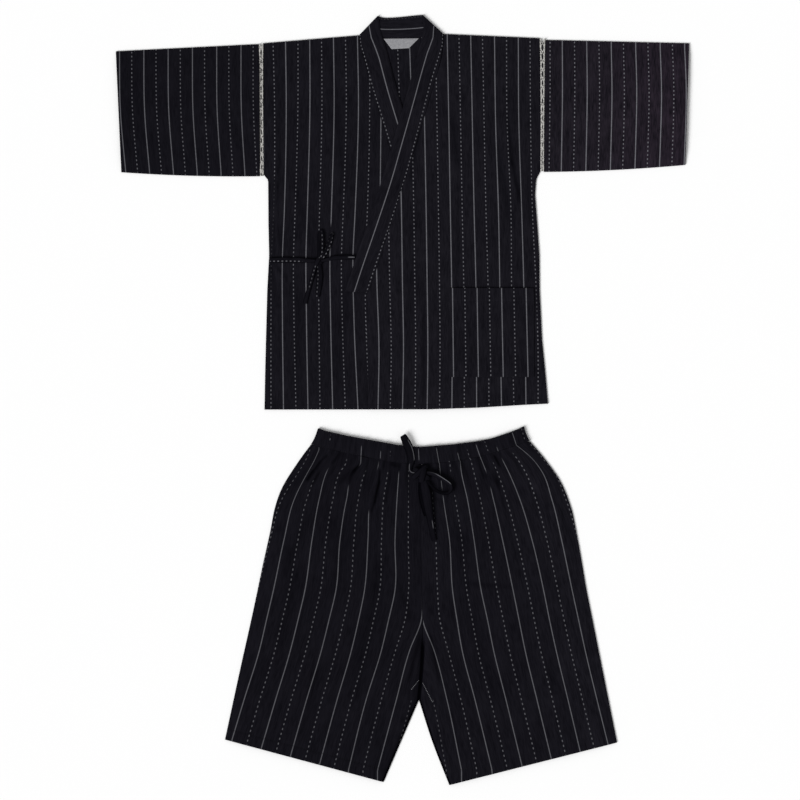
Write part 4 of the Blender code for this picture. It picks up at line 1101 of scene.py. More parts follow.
def flat_tube(wide, top, near_turn, edge_radius, wall, front, back_count):
    """One ring of a tube that lies flat, for every row at once: from the near edge across the
    front, round the far edge and home across the underside. The answer is the outer and inner
    rings' distance across and height, and the share of the way across and the side for each
    column: 0 is the front, and 1 the underside.
    """
    turn = np.radians(np.linspace(90.0, -90.0, 9)[1:-1])
    back = np.linspace(1.0, 0.0, back_count)

    def columns(radius):
        """Distance and height of the ring at radius from the middle of its edges' turns."""
        out = edge_radius - radius
        reach = edge_radius + (wide - 2 * edge_radius) * front
        far = wide - edge_radius + radius * np.cos(turn)
        home = edge_radius + (wide - 2 * edge_radius) * back
        near = lerp(out, edge_radius - radius * np.cos(turn[::-1]), near_turn)
        near = np.broadcast_to(near, far.shape)
        side = edge_radius + radius * np.sin(turn)
        rise = np.linspace(0.0, 1.0, len(turn) + 2)[1:-1]
        square = lerp(out, top[:, :1] - out, rise)
        near_side = lerp(square, side[::-1], near_turn)
        across = np.concatenate([reach, far, home, near], 1)
        height = [top - out, np.broadcast_to(side, far.shape), np.full(home.shape, out), near_side]
        return across, np.concatenate(height, 1)

    shares = np.concatenate([front, np.ones(len(turn)), back, np.zeros(len(turn))])
    sides = np.repeat([0.0, 0.5, 1.0, 1.0], [len(front), len(turn), back_count, len(turn)])
    return columns(edge_radius), columns(edge_radius - wall), shares, sides


SLEEVE_WALL, SLEEVE_EDGE = 0.0009, 0.0012
SLEEVE_HEM = 0.022
SLEEVE_SOFT = 0.03  # over this much cloth the front sinks towards a folded edge
SLEEVE_RIPPLE = 0.0005
HEM_SOFT = 0.004  # over this much a hem's relief sinks towards a folded edge
# Seen as on the wearer's left; the other sleeve has them mirrored.
SLEEVE_FOLDS = (
    (0.330, 0.500, 0.400, 0.640, 0.0011, 0.012),
    (0.300, 0.560, 0.350, 0.680, 0.0010, 0.010),
    (0.420, 0.480, 0.455, 0.560, 0.0009, 0.010),
    (0.500, 0.700, 0.530, 0.560, 0.0009, 0.014),
    (0.460, 0.660, 0.470, 0.560, 0.0008, 0.018),
)


def build_sleeve(name, node, corners, stripes, shows, lift, cloth):
    """A sleeve's tube, folded at its top. The answer is the line of its hem's stitches."""
    shoulder, armpit, cuff_top, cuff_foot = (np.array(corner) for corner in corners)
    length = abs(cuff_top[0] - shoulder[0])
    out = edged(84, length, hem_marks(length, SLEEVE_HEM))
    top = lerp(shoulder, cuff_top, out[:, None])
    foot = lerp(armpit, cuff_foot, out[:, None])
    foot[:, 1] -= SLEEVE_SAG * 4.0 * out * (1.0 - out)
    wide = np.linalg.norm(top - foot, axis=1)[:, None]
    front = np.linspace(0.0, 1.0, 70)

    def placed(share):
        return [lerp(foot[:, n:n + 1], top[:, n:n + 1], share) for n in (0, 1)]

    share = front[None, :]
    x, y = placed(share)
    from_edge = np.minimum(share, 1.0 - share) * wide
    loft = lerp(2 * SLEEVE_EDGE, SLEEVE_LOFT, smooth(from_edge / SLEEVE_SOFT))
    across = smooth(4.0 * share) * smooth(4.0 * (1.0 - share))
    sign = math.copysign(1.0, shoulder[0])
    folds = [
        (sign * first_x, first_y, sign * last_x, last_y, rise, half)
        for first_x, first_y, last_x, last_y, rise, half in SLEEVE_FOLDS
    ]
    ups = SWELL * swell(x, 1.3 * y) + ridges(x, y, folds) + SLEEVE_RIPPLE * ripple(x, y)
    hem = hem_relief((1.0 - out) * length, SLEEVE_HEM)[:, None] * smooth(from_edge / HEM_SOFT)
    height = loft + across * ups + hem
    rings = flat_tube(wide, height, 1.0, SLEEVE_EDGE, SLEEVE_WALL, front, 40)[:2]
    outside, inside = (joined(*placed(across / wide), height) for across, height in rings)
    ring = closed(outside)
    around = distances(ring.swapaxes(0, 1)).T
    # Painted light, from the armhole's value to the cuff's.
    lift = lerp(lift[0], lift[1], smooth(out))[:, None]
    uvs = striped(stripes, ring[..., 0], ring[..., 1], around, shows, lift=lift)
    piece = shell(name, outside, inside, uvs, cloth, around=True)
    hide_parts(node)
    return [outside[nearest(out, 1.0 - SLEEVE_HEM / length), 1:len(front) - 1]]


LEG_WALL, LEG_EDGE = 0.0009, 0.0012
LEG_HEM = 0.024
LEG_HEM_PLACES = (0.0, 0.008, 0.018, 0.26, 0.275, 0.285, 0.292, 0.30, 0.31, 0.325)
LEG_HEM_STRETCH = 1.03
LEG_SOFT = 0.035  # over this much cloth the front sinks towards the outer edge
INNER_SOFT = 0.009  # and towards the inner edge, below the crotch
LEG_FULL = 0.012  # over this much the folds and ripples fade towards an edge
LEG_RIPPLE, LEG_SWELL = 0.0007, 0.0006
SEAM_GROOVE, SEAM_GROOVE_HALF = 0.0002, 0.0016
CREASE_HALF, CREASE_SHADE = 0.0031, 1.6  # the painted shade along the inner edge, up to the crotch
LEG_UNDER = 0.02  # on the underside, stripes end this share of the width short of the inner edge
TUCK = 0.0012  # how far the legs' front reaches in under the waistband's front
TUCK_TOP = 0.0026
TUCK_SIDE = 0.02


def gather_rise(share):
    """From 0 to 1: the height of the small gathers across the front of one leg."""
    drift = GATHER_DRIFT * np.sin(9.0 * share * math.pi)
    place = np.clip((share - drift) * GATHERS, 0.0, GATHERS - 1e-6)
    depth = np.array(GATHER_DEPTHS)[place.astype(int)]
    return depth * 0.5 * (1.0 - np.cos(2.0 * math.pi * place))


def leg_edges(table, places):
    """Each column of a leg's table at the places, and its inner edge, which turns at the apex."""
    rows = np.array(table)
    values = curve(places, np.arange(len(rows)), rows)
    columns = dict(zip(LEG_COLUMNS.split(), values.T[..., None]))
    edge = rows[:, 2:4]
    below = curve(places, np.arange(APEX_ROW + 1), edge[:APEX_ROW + 1])
    above = curve(places, np.arange(APEX_ROW, len(rows)), edge[APEX_ROW:])
    inner = np.where(places[:, None] < APEX_ROW, below, above)
    return columns, inner, np.concatenate([columns["out_x"], columns["out_y"]], 1)


def build_leg(name, node, table, stripes, shows, folds, lift, cloth):
    """A leg's tube, from its hem to the waist seam. The answer is the line of its hem's stitches
    and the points of its front.
    """
    last = len(table) - 1
    hem_places = [place * LEG_HEM_STRETCH for place in LEG_HEM_PLACES]
    low, high = np.linspace(0.05, 5.0, 66), np.linspace(5.0, last - 0.03, 64)
    places = np.unique([*hem_places, *low, APEX_ROW, *high, last - 0.012, last - 0.004, last])
    columns, inner, outer = leg_edges(table, places)
    seam = table[last]
    wide = np.linalg.norm(outer - inner, axis=1)[:, None]
    front = np.linspace(0.0, 1.0, 190)

    def placed(share):
        """Places at shares of the way across. The topmost follow the curve of the waist seam."""
        inside = np.clip(share, 0.0, 1.0)
        curved = WAIST.at(lerp(seam[2], seam[0], inside), "seam") - WAIST_SEAM
        sag = curved - lerp(seam[3], seam[1], inside)
        x, y = (lerp(inner[:, n:n + 1], outer[:, n:n + 1], share) for n in (0, 1))
        return x, y + columns["bend"] * sag

    share = front[None, :]
    x, y = placed(share)
    open_rows = smooth(places - CROTCH_ROW + 0.6)[:, None]  # where the leg joins the other one
    far, near = (1.0 - share) * wide, share * wide
    soft_near = lerp(smooth(near / INNER_SOFT), 1.0, open_rows)
    loft = lerp(2 * LEG_EDGE, columns["loft"], smooth(far / LEG_SOFT) * soft_near)
    inside_edge = smooth(far / LEG_FULL) * lerp(smooth(near / LEG_FULL), 1.0, open_rows)
    gathers = columns["gather"] * gather_rise(share)
    ups = LEG_RIPPLE * ripple(x, y) + LEG_SWELL * swell(1.2 * x, 0.8 * y)
    height = loft + inside_edge * (gathers + ridges(x, y, folds) + ups)
    height -= SEAM_GROOVE * open_rows * np.exp(-((near / SEAM_GROOVE_HALF) ** 2))
    from_hem = distances(0.5 * (inner + outer))
    height += hem_relief(from_hem, LEG_HEM)[:, None] * smooth(far / HEM_SOFT)
    height = np.maximum(height, 2 * LEG_WALL + 0.0003)
    rings_outer, rings_inner, shares, sides = flat_tube(
        wide, height, 1.0 - open_rows, LEG_EDGE, LEG_WALL, front, 50
    )
    tucked = (sides < 0.4) & (shares > TUCK_SIDE) & (shares < 1.0 - TUCK_SIDE)

    def built(ring, tuck_height):
        """The ring in place, with the front's topmost edge tucked in under the waistband."""
        across, height = ring
        x, y = placed(across / wide)
        height = height.copy()
        height[-2:, tucked] = tuck_height
        for row, past in ((-3, -0.00012), (-2, -0.00006), (-1, TUCK)):
            y[row, tucked] = WAIST.at(x[row, tucked], "seam") + past
        return joined(x, y, height)

    outside, inside = built(rings_outer, TUCK_TOP), built(rings_inner, TUCK_TOP - 0.0005)
    ring = closed(outside)
    numbers = stripes.number(ring[..., 0], ring[..., 1])
    edge = stripes.number(outer[:, 0:1], outer[:, 1:2])
    behind = np.append(sides, 1.0) > 0.6
    across = np.append(shares, shares[0])[None, :]
    mirrored = np.where(behind, 2 * edge - numbers, numbers)
    strength = np.where(behind, across > LEG_UNDER, shows.at(numbers, ring[..., 1]))
    # Painted shade: the ground is painted darker in the gathers' valleys, beside the folds and along
    # the crease at the inner edge; lift paints the legs lighter towards their outer edges.
    gather_valley_shade = columns["gather"] / LEG_GATHER * (1.0 - gather_rise(across)) ** 2
    shade = np.maximum(painted_fold_shade(ring[..., 0], ring[..., 1], folds), GATHER_SHADE * gather_valley_shade)
    below_crotch = smooth((CROTCH_ROW - places) / 0.7)[:, None]
    crease = below_crotch * np.exp(-((across * wide / CREASE_HALF) ** 4))
    shade = np.maximum(np.where(behind, 0.0, shade), CREASE_SHADE * crease)
    lift = lerp(lift[0], lift[1], smooth(2.0 * across - 1.0)) - FOLD_SHADE * shade
    uvs = {
        "cloth": joined(PITCH * mirrored, distances(ring) / SHORTS_SCALE),
        "shows": joined(strength, lift),
    }
    piece = shell(name, outside, inside, uvs, cloth, around=True)
    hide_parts(node)
    return [outside[nearest(from_hem, LEG_HEM), 1:len(front) - 1]], outside[:, :len(front)]


def lying_on(surface, start, end):
    """A line of points from start to end, lying on a grid of points."""
    flat = lerp(np.array(start), np.array(end), np.linspace(0.0, 1.0, 24)[:, None])
    points = surface.reshape(-1, 3)
    near = np.argmin(((points[None, :, :2] - flat[:, None, :]) ** 2).sum(-1), axis=1)
    return np.concatenate([flat, points[near, 2:]], 1)


WAIST_WALL, WAIST_EDGE = 0.0019, 0.0024
WAIST_WIDTH = 0.035
WAIST_PUCKERS, WAIST_PUCKER = 46, 0.0007  # how many the elastic draws, and how high
WAIST_CROWN = 0.0008  # it is fuller along its middle
WAIST_DRAWN = 0.0005  # and its rows of stitches draw it down
WAIST_SOFT, WAIST_FULL = 0.012, 0.016  # over this much it sinks towards its ends
WAIST_SLANT_RIGHT, WAIST_SLANT_LEFT = 0.0145, 0.0120
WAIST_STITCHING = ((0.1, 0.05), (0.9, 0.04))  # the levels of its rows of stitches, how wide each
WAIST_FULLNESS = ((0.0, 0.33, 0.75, 1.0), (1.0, 0.6, 0.7, 0.9))  # by level


def build_waistband(cloth):
    """A casing that lies flat as a tube, puckered by the elastic inside it."""
    right_end, left_end = WAIST.places[0], WAIST.places[-1]
    wide = left_end - right_end
    levels = edged(16, WAIST_WIDTH)
    front = np.linspace(0.0, 1.0, 300)
    level, share = levels[:, None], front[None, :]
    centre = (CENTRE_SEAM - right_end) / wide
    from_centre = np.where(
        share < centre, (centre - share) / centre, (share - centre) / (1.0 - centre)
    )
    fullness = np.interp(level, *WAIST_FULLNESS)
    from_end = np.minimum(share, 1.0 - share) * wide
    drift = 0.35 * np.sin(21.0 * share + 1.0) + 0.25 * np.sin(47.0 * share)
    pucker = 0.5 + 0.5 * np.sin(2 * math.pi * WAIST_PUCKERS * share + 6.0 * drift + 0.8 * level)
    uneven = 0.6 + 0.4 * np.sin(33.0 * share + 2.0)
    crown = WAIST_CROWN * (1.0 - (2.0 * level - 1.0) ** 2)
    rows = [np.exp(-(((level - at) / half) ** 2)) for at, half in WAIST_STITCHING]
    ups = WAIST_RISE * fullness * gather_rise(from_centre)
    ups = ups + WAIST_PUCKER * pucker * uneven * fullness
    height = lerp(2 * WAIST_EDGE, WAIST_LOFT, smooth(from_end / WAIST_SOFT))
    height = height + smooth(from_end / WAIST_FULL) * (ups + crown - WAIST_DRAWN * sum(rows))
    wides = np.full((len(levels), 1), wide)
    rings = flat_tube(wides, height, 1.0, WAIST_EDGE, WAIST_WALL, front, 60)[:2]

    def placed(ring):
        """The ring in place: the band's ends slant inwards towards its upper edge."""
        across, height = ring
        right, left = right_end + WAIST_SLANT_RIGHT * level, left_end - WAIST_SLANT_LEFT * level
        x = right + across / wide * (left - right)
        inside = np.clip(x, right_end, left_end)
        return joined(x, lerp(WAIST.at(inside, "seam"), WAIST.at(inside, "top"), level), height)

    outside, inside = (placed(ring) for ring in rings)
    x = closed(outside)[..., 0]
    along = np.broadcast_to(level, x.shape)
    # The waistband's ground is given a little painted light.
    uvs = striped(WAIST_STRIPES, x, along, WAIST_WIDTH * along, WAIST_SHOWS, SHORTS_SCALE, 0.05)
    piece = shell("waist_casing", outside, inside, uvs, cloth, around=True)
    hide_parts("waistband")
    return [outside[nearest(levels, at), 4:len(front) - 4] for at, _ in WAIST_STITCHING]


LABEL_WALL = 0.0008
LABEL_PUFF = 0.0003


def build_label(label):
    left_top, right_top, right_foot, left_foot = (np.array(corner) for corner in LABEL_CORNERS)
    rows, columns = edged(14, 0.018)[:, None], edged(30, 0.06)[None, :]
    left, right = lerp(left_top, left_foot, rows), lerp(right_top, right_foot, rows)
    x, y = (lerp(left[:, n:n + 1], right[:, n:n + 1], columns) for n in (0, 1))
    puff = smooth(6 * rows) * smooth(6 * (1 - rows))
    puff = puff * smooth(8 * columns) * smooth(8 * (1 - columns))
    z = FIRST_LAYER + LABEL_PUFF * puff * (1.0 + 0.6 * np.sin(90.0 * x))
    outside, inside = joined(x, y, z + LABEL_WALL), joined(x, y, z)
    uvs = {"cloth": joined(x, distances(inside)), "shows": joined(np.ones_like(x), 0.0)}
    piece = shell("woven_label", outside, inside, uvs, label)
    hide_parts("neck_label")


STRIP_POINTS = 24  # round a strip's section
STRIP_STEP = 0.0013  # along it
STRIP_SQUARE, STRIP_LEVEL = 0.6, 0.5  # the smaller, the squarer its section and the flatter its faces
STRIP_EDGE_PAINTED_SHADE = 0.65  # painted shade: how much darker its folded edges are painted


def strip(name, route, wall, marks, cloth, scale=1.0, cup=0.0, dark=STRIP_PAINTED_SHADE):
    """A flat folded strip along a smooth route of (x, y, z, width, tilt). Each mark is a share of
    the way along it, the place on the cloth at its middle in stripe numbers, and how strongly a
    stripe shows there. The answer is the piece and the line down its middle.
    """
    table = np.array(route, float)
    count = max(24, int(distances(table[:, :3])[-1] / STRIP_STEP))
    values = curve(np.linspace(0, len(table) - 1, count), np.arange(len(table)), table)
    middle, width, tilt = values[:, :3], values[:, 3:4], np.radians(values[:, 4:5])
    ahead = unit(np.gradient(middle, axis=0))
    side = unit(joined(-ahead[:, 1], ahead[:, 0], 0.0))
    for row in range(1, count):
        if side[row] @ side[row - 1] < 0:
            side[row] = -side[row]
    across = side * np.cos(tilt) + np.array([0.0, 0.0, 1.0]) * np.sin(tilt)
    across = unit(across - (across * ahead).sum(1)[:, None] * ahead)
    normal = np.cross(ahead, across)
    turn = np.linspace(0.0, 2 * math.pi, STRIP_POINTS, endpoint=False)
    flat = np.sign(np.cos(turn)) * np.abs(np.cos(turn)) ** STRIP_SQUARE
    thick = np.sign(np.sin(turn)) * np.abs(np.sin(turn)) ** STRIP_LEVEL
    offset = 0.5 * width * flat[None, :]
    rise = 0.5 * wall * thick[None, :] + cup * width * (1.0 - flat[None, :] ** 2)
    rings = middle[:, None, :] + offset[..., None] * across[:, None, :]
    rings = rings + rise[..., None] * normal[:, None, :]
    along = distances(middle)[:, None]
    share, stripe, strength = np.array(marks, float).T
    stripe, strength = (np.interp(along / along[-1], share, seen) for seen in (stripe, strength))
    # Painted shade: the strip's cloth is painted darker by dark, and darker still along its folded
    # edges.
    edges = smooth((np.abs(np.append(flat, flat[0])) - 0.55) / 0.45)[None, :]
    place = stripe * PITCH + closed(offset)
    uvs = {
        "cloth": joined(place, along / scale),
        "shows": joined(strength, -dark - STRIP_EDGE_PAINTED_SHADE * edges),
    }
    return solid_strip(name, rings, uvs, cloth), middle


def build_cord(name, node, end, thick, *strip_says, **more):
    """A strip built in place of the part's node."""
    piece, middle = strip(name, *strip_says, **more)
    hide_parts(node)


def build_ties(cloth):
    """The jacket's ties and their bow, lying on the inner front."""
    for name, node, marks, end, thick, route in TIES:
        lifted = []
        for x, y, up, width, tilt in route:
            lean = 0.5 * width * math.sin(math.radians(abs(tilt)))
            z = on_inner_front(x, y) + 0.0002 + 0.5 * TIE_WALL + up + lean
            lifted.append((x, y, z, width, tilt))
        build_cord(name, node, end, thick, lifted, TIE_WALL, marks, cloth, cup=0.03)


def build_drawstring(cloth):
    for name, node, marks, end, thick, route in STRING:
        dark = STRING_PAINTED_SHADE.get(name, STRIP_PAINTED_SHADE)
        build_cord(
            name, node, end, thick, route, STRING_WALL, marks, cloth, SHORTS_SCALE, 0.05, dark
        )


def build_wraps(name, node, centre, size, wraps, wall, cloth, scale=1.0):
    """A knot: short strips that pass over its middle and tuck in under each other."""
    for number, (degrees, width, lift, shift, marks) in enumerate(wraps):
        heading = np.array([math.cos(math.radians(degrees)), math.sin(math.radians(degrees))])
        sideways = np.array([-heading[1], heading[0]]) * shift
        reach = 0.5 * abs(size[0] * heading[0]) + 0.5 * abs(size[1] * heading[1])
        route = []
        for angle in (172, 140, 110, 90, 70, 40, 8):
            along, up = math.cos(math.radians(angle)), math.sin(math.radians(angle))
            x, y = centre[:2] + heading * reach * along + sideways
            z = centre[2] - 0.5 * size[2] + (0.5 * size[2] + lift) * up + 0.5 * wall
            route.append((x, y, z, width * (0.72 + 0.28 * up), 0))
        piece_name = name if number == 0 else f"{name}_wrap_{number}"
        piece, _ = strip(piece_name, route, wall, marks, cloth, scale, 0.1)
        if number == 0:
            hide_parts(node)


OPENWORK_CORD = 0.00095  # radius of the two edge cords
OPENWORK_THREAD = 0.0011  # and of the threads that cross between them
OPENWORK_FLAT = 0.6  # how high the cords and threads are against their width
OPENWORK_TAPE = 0.0003  # how thick the dark strip is that lies beneath the openwork's front
OPENWORK_NOTCH = 0.005  # the dark strip stops this far below the openwork's top, where its threads part in a V at the shoulder
OPENWORK_SIDES = 6


def build_openwork(name, node, side, z, trim):
    """Two cords joined by threads that cross once in each repeat."""
    top, foot = INSERT_TOP[side], INSERT_FOOT[side]
    y = np.linspace(top, foot, 190)
    middle, half = INSERT.at(y, side + "_x"), INSERT.at(y, side + "_half")
    turns = (top - y) / (top - foot) * INSERT_HOLES * math.pi
    lines = []
    for sign in (-1.0, 1.0):
        bump = 0.18 * OPENWORK_CORD * np.sin(4.0 * turns)
        x = middle + sign * (half - OPENWORK_CORD) + bump
        lines.append((joined(x, y, z + OPENWORK_CORD), OPENWORK_CORD))
        reach = np.maximum(half - 1.4 * OPENWORK_CORD, 0.0006)
        over = z + OPENWORK_CORD + sign * 0.3 * OPENWORK_THREAD * np.sin(turns)
        lines.append((joined(middle + sign * reach * np.cos(turns), y, over), OPENWORK_THREAD))
    turn = np.linspace(0.0, 2 * math.pi, OPENWORK_SIDES, endpoint=False)
    ring = joined(np.cos(turn), 0 * turn, OPENWORK_FLAT * np.sin(turn))
    _, walls = tube_faces(len(y), OPENWORK_SIDES)
    points, faces = [], []
    for number, (line, radius) in enumerate(lines):
        points.append((line[:, None, :] + ring * radius).reshape(-1, 3))
        start = number * len(points[0])
        faces += [[start + corner for corner in face] for face in walls]
    pale = len(lines) * len(points[0])
    if z > 0.0:
        under = y < top - OPENWORK_NOTCH
        rows = int(under.sum())
        for low in (z - OPENWORK_TAPE, z - 0.00002):
            for sign in (-1.0, 1.0):
                edge = (middle + sign * (half - 0.0002))[under]
                points.append(joined(edge, y[under], low))
        down = pale + np.arange(rows - 1)
        rails = [down + number * rows for number in (0, 1, 3, 2)]
        for near, far in zip(rails, rails[1:] + rails[:1]):
            faces += joined(near, far, far + 1, near + 1).tolist()
        for end in (0, rows - 1):
            faces.append([pale + number * rows + end for number in (0, 1, 3, 2)])
    points = np.concatenate(points)
    shade = (np.arange(len(points)) < pale).astype(float)
    uvs = {"cloth": points[:, :2], "shows": joined(shade, shade)}
    piece = mesh_piece(name, points, faces, uvs, trim)
    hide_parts(node)


def add_node(tree, kind, sockets=(), **settings):
    """A new node with its settings, and its sockets given constants or other nodes' outputs."""
    made = tree.nodes.new(kind)
    for name, value in settings.items():
        setattr(made, name, value)
    for name, value in dict(sockets).items():
        if isinstance(value, bpy.types.NodeSocket):
            tree.links.new(value, made.inputs[name])
        else:
            made.inputs[name].default_value = value
    return made


def math_node(tree, operation, *values):
    return add_node(tree, "ShaderNodeMath", enumerate(values), operation=operation).outputs[0]


def band(tree, distance, half, soft):
    """1 within half of a line, falling to 0 over soft on each side."""
    sockets = {"Value": distance, "From Min": half + soft, "From Max": half - soft}
    made = add_node(tree, "ShaderNodeMapRange", sockets, interpolation_type="SMOOTHSTEP")
    return made.outputs["Result"]


def remap(tree, value, low, high):
    sockets = {"Value": value, "To Min": low, "To Max": high}
    return add_node(tree, "ShaderNodeMapRange", sockets).outputs["Result"]


def noise(tree, vector, scale, stretch, detail):
    """Soft noise over the cloth's own lengths, drawn out by stretch."""
    mapping = add_node(tree, "ShaderNodeMapping", {"Scale": (*stretch, 1.0), "Vector": vector})
    sockets = {"Vector": mapping.outputs["Vector"], "Scale": scale, "Detail": detail}
    return add_node(tree, "ShaderNodeTexNoise", sockets, noise_dimensions="2D").outputs["Fac"]


def mix_colour(tree, share, low, high):
    low, high = ((*value, 1.0) if isinstance(value, tuple) else value for value in (low, high))
    return add_node(tree, "ShaderNodeMix", {0: share, 6: low, 7: high}, data_type="RGBA").outputs[2]


def split(tree, vector):
    """The two numbers of a place on a UV map."""
    return add_node(tree, "ShaderNodeSeparateXYZ", {0: vector}).outputs[:2]


def uv_map(tree, name):
    return add_node(tree, "ShaderNodeUVMap", uv_map=name).outputs["UV"]


def new_material(name, roughness, specular, sheen):
    material = bpy.data.materials.new(name)
    material.use_nodes = True
    tree = material.node_tree
    shader = tree.nodes["Principled BSDF"]
    shader.inputs["Roughness"].default_value = roughness
    shader.inputs["Specular IOR Level"].default_value = specular
    shader.inputs["Sheen Weight"].default_value = sheen
    shader.inputs["Sheen Roughness"].default_value = 0.5
    return material, tree, shader, uv_map(tree, "cloth")


def dress(tree, shader, colour, height, strength, distance):
    """Gives the shader its colour and a fine relief."""
    sockets = {"Strength": strength, "Distance": distance, "Height": height}
    bump = add_node(tree, "ShaderNodeBump", sockets)
    tree.links.new(colour, shader.inputs["Base Color"])
    tree.links.new(bump.outputs["Normal"], shader.inputs["Normal"])


def weave(tree, across, along, pitch):
    """Threads going over and under each other, from 0 to 1."""
    turn = 2.0 * math.pi / pitch
    warp = math_node(tree, "SINE", math_node(tree, "MULTIPLY", across, turn))
    weft = math_node(tree, "SINE", math_node(tree, "MULTIPLY", along, turn))
    return math_node(tree, "MULTIPLY_ADD", math_node(tree, "MULTIPLY", warp, weft), 0.5, 0.5)


THREAD_PITCH = 0.0009
STRIPE_HALF, STRIPE_SOFT = 0.00090, 0.00042
DASH_HALF, DASH_SOFT = 0.0016, 0.0006
WEAR = (90.0, (1.0, 2.2), 3.0)  # scale, stretch and detail of the stripes' unevenness
SLUB = (60.0, (9.0, 1.0), 4.0)  # and of each unevenness of the ground
STREAK = (20.0, (8.0, 1.0), 2.0)
BLOTCH = (24.0, (1.0, 0.7), 2.0)
WORN = (0.60, 1.25)  # how strong a stripe is where it is most worn and where least
SLUB_SHARE, STREAK_SHARE, BLOTCH_SHARE = 0.52, 0.28, 0.20
TONE_SPREAD = (0.48, -0.26)  # about where, and over how much, the ground goes from dark to light
# the colour of the deepest painted shade
PAINTED_SHADE_BLACK = (0.0012, 0.0011, 0.0018)
WARM_PAINTED_LIGHT = (0.0350, 0.0215, 0.0355)  # the painted warm light on the sleeve that catches most light
WARM_PAINTED_LIGHT_FROM = 0.55
LIT_STRIPE = 1.35  # how much paler the stripes are painted where the ground's painted light is full
# The ground at its darkest and lightest in the darkest cloth, the painted lit ground where a
# piece catches more light, the stripes' colour, and how wide they are against the jacket's.
JACKET_CLOTH = (
    (0.0043, 0.0040, 0.0059), (0.0094, 0.0089, 0.0123), (0.0190, 0.0175, 0.0227),
    (0.122, 0.122, 0.135), 1.0,
)
SHORTS_CLOTH = (
    (0.0040, 0.0037, 0.0055), (0.0087, 0.0082, 0.0115), (0.0156, 0.0146, 0.0196),
    (0.097, 0.097, 0.107), 0.84,
)


def striped_cloth(name, black, light, lit, stripe_colour, width):
    """Near-black cotton with slubs, solid pale stripes and dotted ones between them."""
    material, tree, shader, cloth = new_material(name, 0.92, 0.0, 0.0)
    across, along = split(tree, cloth)
    strength, lift = split(tree, uv_map(tree, "shows"))

    def times(first, second):
        return math_node(tree, "MULTIPLY", first, second)

    def plus(first, factor, second):
        return math_node(tree, "MULTIPLY_ADD", first, factor, second)

    from_solid = math_node(tree, "PINGPONG", math_node(tree, "DIVIDE", across, PITCH), 1.0)
    from_dotted = math_node(tree, "SUBTRACT", 1.0, from_solid)
    half, soft = width * STRIPE_HALF / PITCH, width * STRIPE_SOFT / PITCH
    solid, dotted = (band(tree, place, half, soft) for place in (from_solid, from_dotted))
    dash = band(tree, math_node(tree, "PINGPONG", along, 0.5 * DASH_PITCH), DASH_HALF, DASH_SOFT)
    worn = remap(tree, noise(tree, cloth, *WEAR), *WORN)
    stripe = math_node(tree, "MAXIMUM", solid, times(dotted, dash))
    stripe = times(times(stripe, worn), strength)

    slubs = noise(tree, cloth, *SLUB)
    tone = plus(noise(tree, cloth, *STREAK), STREAK_SHARE, times(slubs, SLUB_SHARE))
    tone = plus(noise(tree, cloth, *BLOTCH), BLOTCH_SHARE, tone)
    tone = band(tree, tone, *TONE_SPREAD)
    # Painted light and shade from lift: the ground is painted lighter towards lit, then warm, and
    # below 0 towards black as shade; the stripes are painted paler.
    ground = mix_colour(tree, lift, light, lit)
    ground = mix_colour(tree, math_node(tree, "SUBTRACT", lift, WARM_PAINTED_LIGHT_FROM), ground, WARM_PAINTED_LIGHT)
    ground = mix_colour(tree, tone, black, ground)
    ground = mix_colour(tree, times(lift, -1.0), ground, PAINTED_SHADE_BLACK)
    lit_stripe = tuple(LIT_STRIPE * value for value in stripe_colour)
    bright = mix_colour(tree, lift, stripe_colour, lit_stripe)
    colour = mix_colour(tree, math_node(tree, "MINIMUM", stripe, 1.0), ground, bright)
    height = plus(stripe, 0.5, plus(slubs, 0.6, weave(tree, across, along, THREAD_PITCH)))
    dress(tree, shader, colour, height, 0.35, 0.0002)
    return material


DARK_THREAD = ((0.005, 0.005, 0.007), (0.016, 0.015, 0.019))
PALE_THREAD = ((0.110, 0.110, 0.120), (0.200, 0.200, 0.215))


def sewing_thread(name, colours):
    material, tree, shader, cloth = new_material(name, 0.7, 0.1, 0.0)
    twist = noise(tree, cloth, 900.0, (1.0, 1.0), 1.0)
    dress(tree, shader, mix_colour(tree, twist, *colours), twist, 0.3, 0.0001)
    return material


OPENWORK_COLOURS = ((0.36, 0.352, 0.335), (0.64, 0.625, 0.595))
OPENWORK_SPECK = (0.14, 0.137, 0.132)
OPENWORK_DARK = (0.016, 0.016, 0.018)  # the dark strip under it


def openwork_cotton():
    material, tree, shader, cloth = new_material("openwork_cord", 0.85, 0.2, 0.05)
    fibres = noise(tree, cloth, 500.0, (1.0, 1.0), 3.0)
    specks = band(tree, noise(tree, cloth, 260.0, (1.0, 1.0), 1.0), 0.42, -0.12)
    colour = mix_colour(tree, fibres, *OPENWORK_COLOURS)
    colour = mix_colour(tree, specks, OPENWORK_SPECK, colour)
    shade, _ = split(tree, uv_map(tree, "shows"))
    colour = mix_colour(tree, shade, OPENWORK_DARK, colour)
    dress(tree, shader, colour, fibres, 0.4, 0.0003)
    return material


LABEL_THREAD_PITCH = 0.0006
LABEL_COLOURS = ((0.20, 0.20, 0.215), (0.33, 0.33, 0.345))


def label_tape():
    material, tree, shader, cloth = new_material("label_weave", 0.6, 0.3, 0.1)
    threads = weave(tree, *split(tree, cloth), LABEL_THREAD_PITCH)
    tone = noise(tree, cloth, 220.0, (1.0, 1.0), 2.0)
    dress(tree, shader, mix_colour(tree, tone, *LABEL_COLOURS), threads, 0.4, 0.0002)
    return material


FLOOR_REACH, FLOOR_LEVEL = 20.0, -0.0004
LIGHT_PLACE, LIGHT_ANGLE, LIGHT_STRENGTH = (-3.2, -2.2, 2.9), 34.0, 3.1
SKY_STRENGTH = 0.42


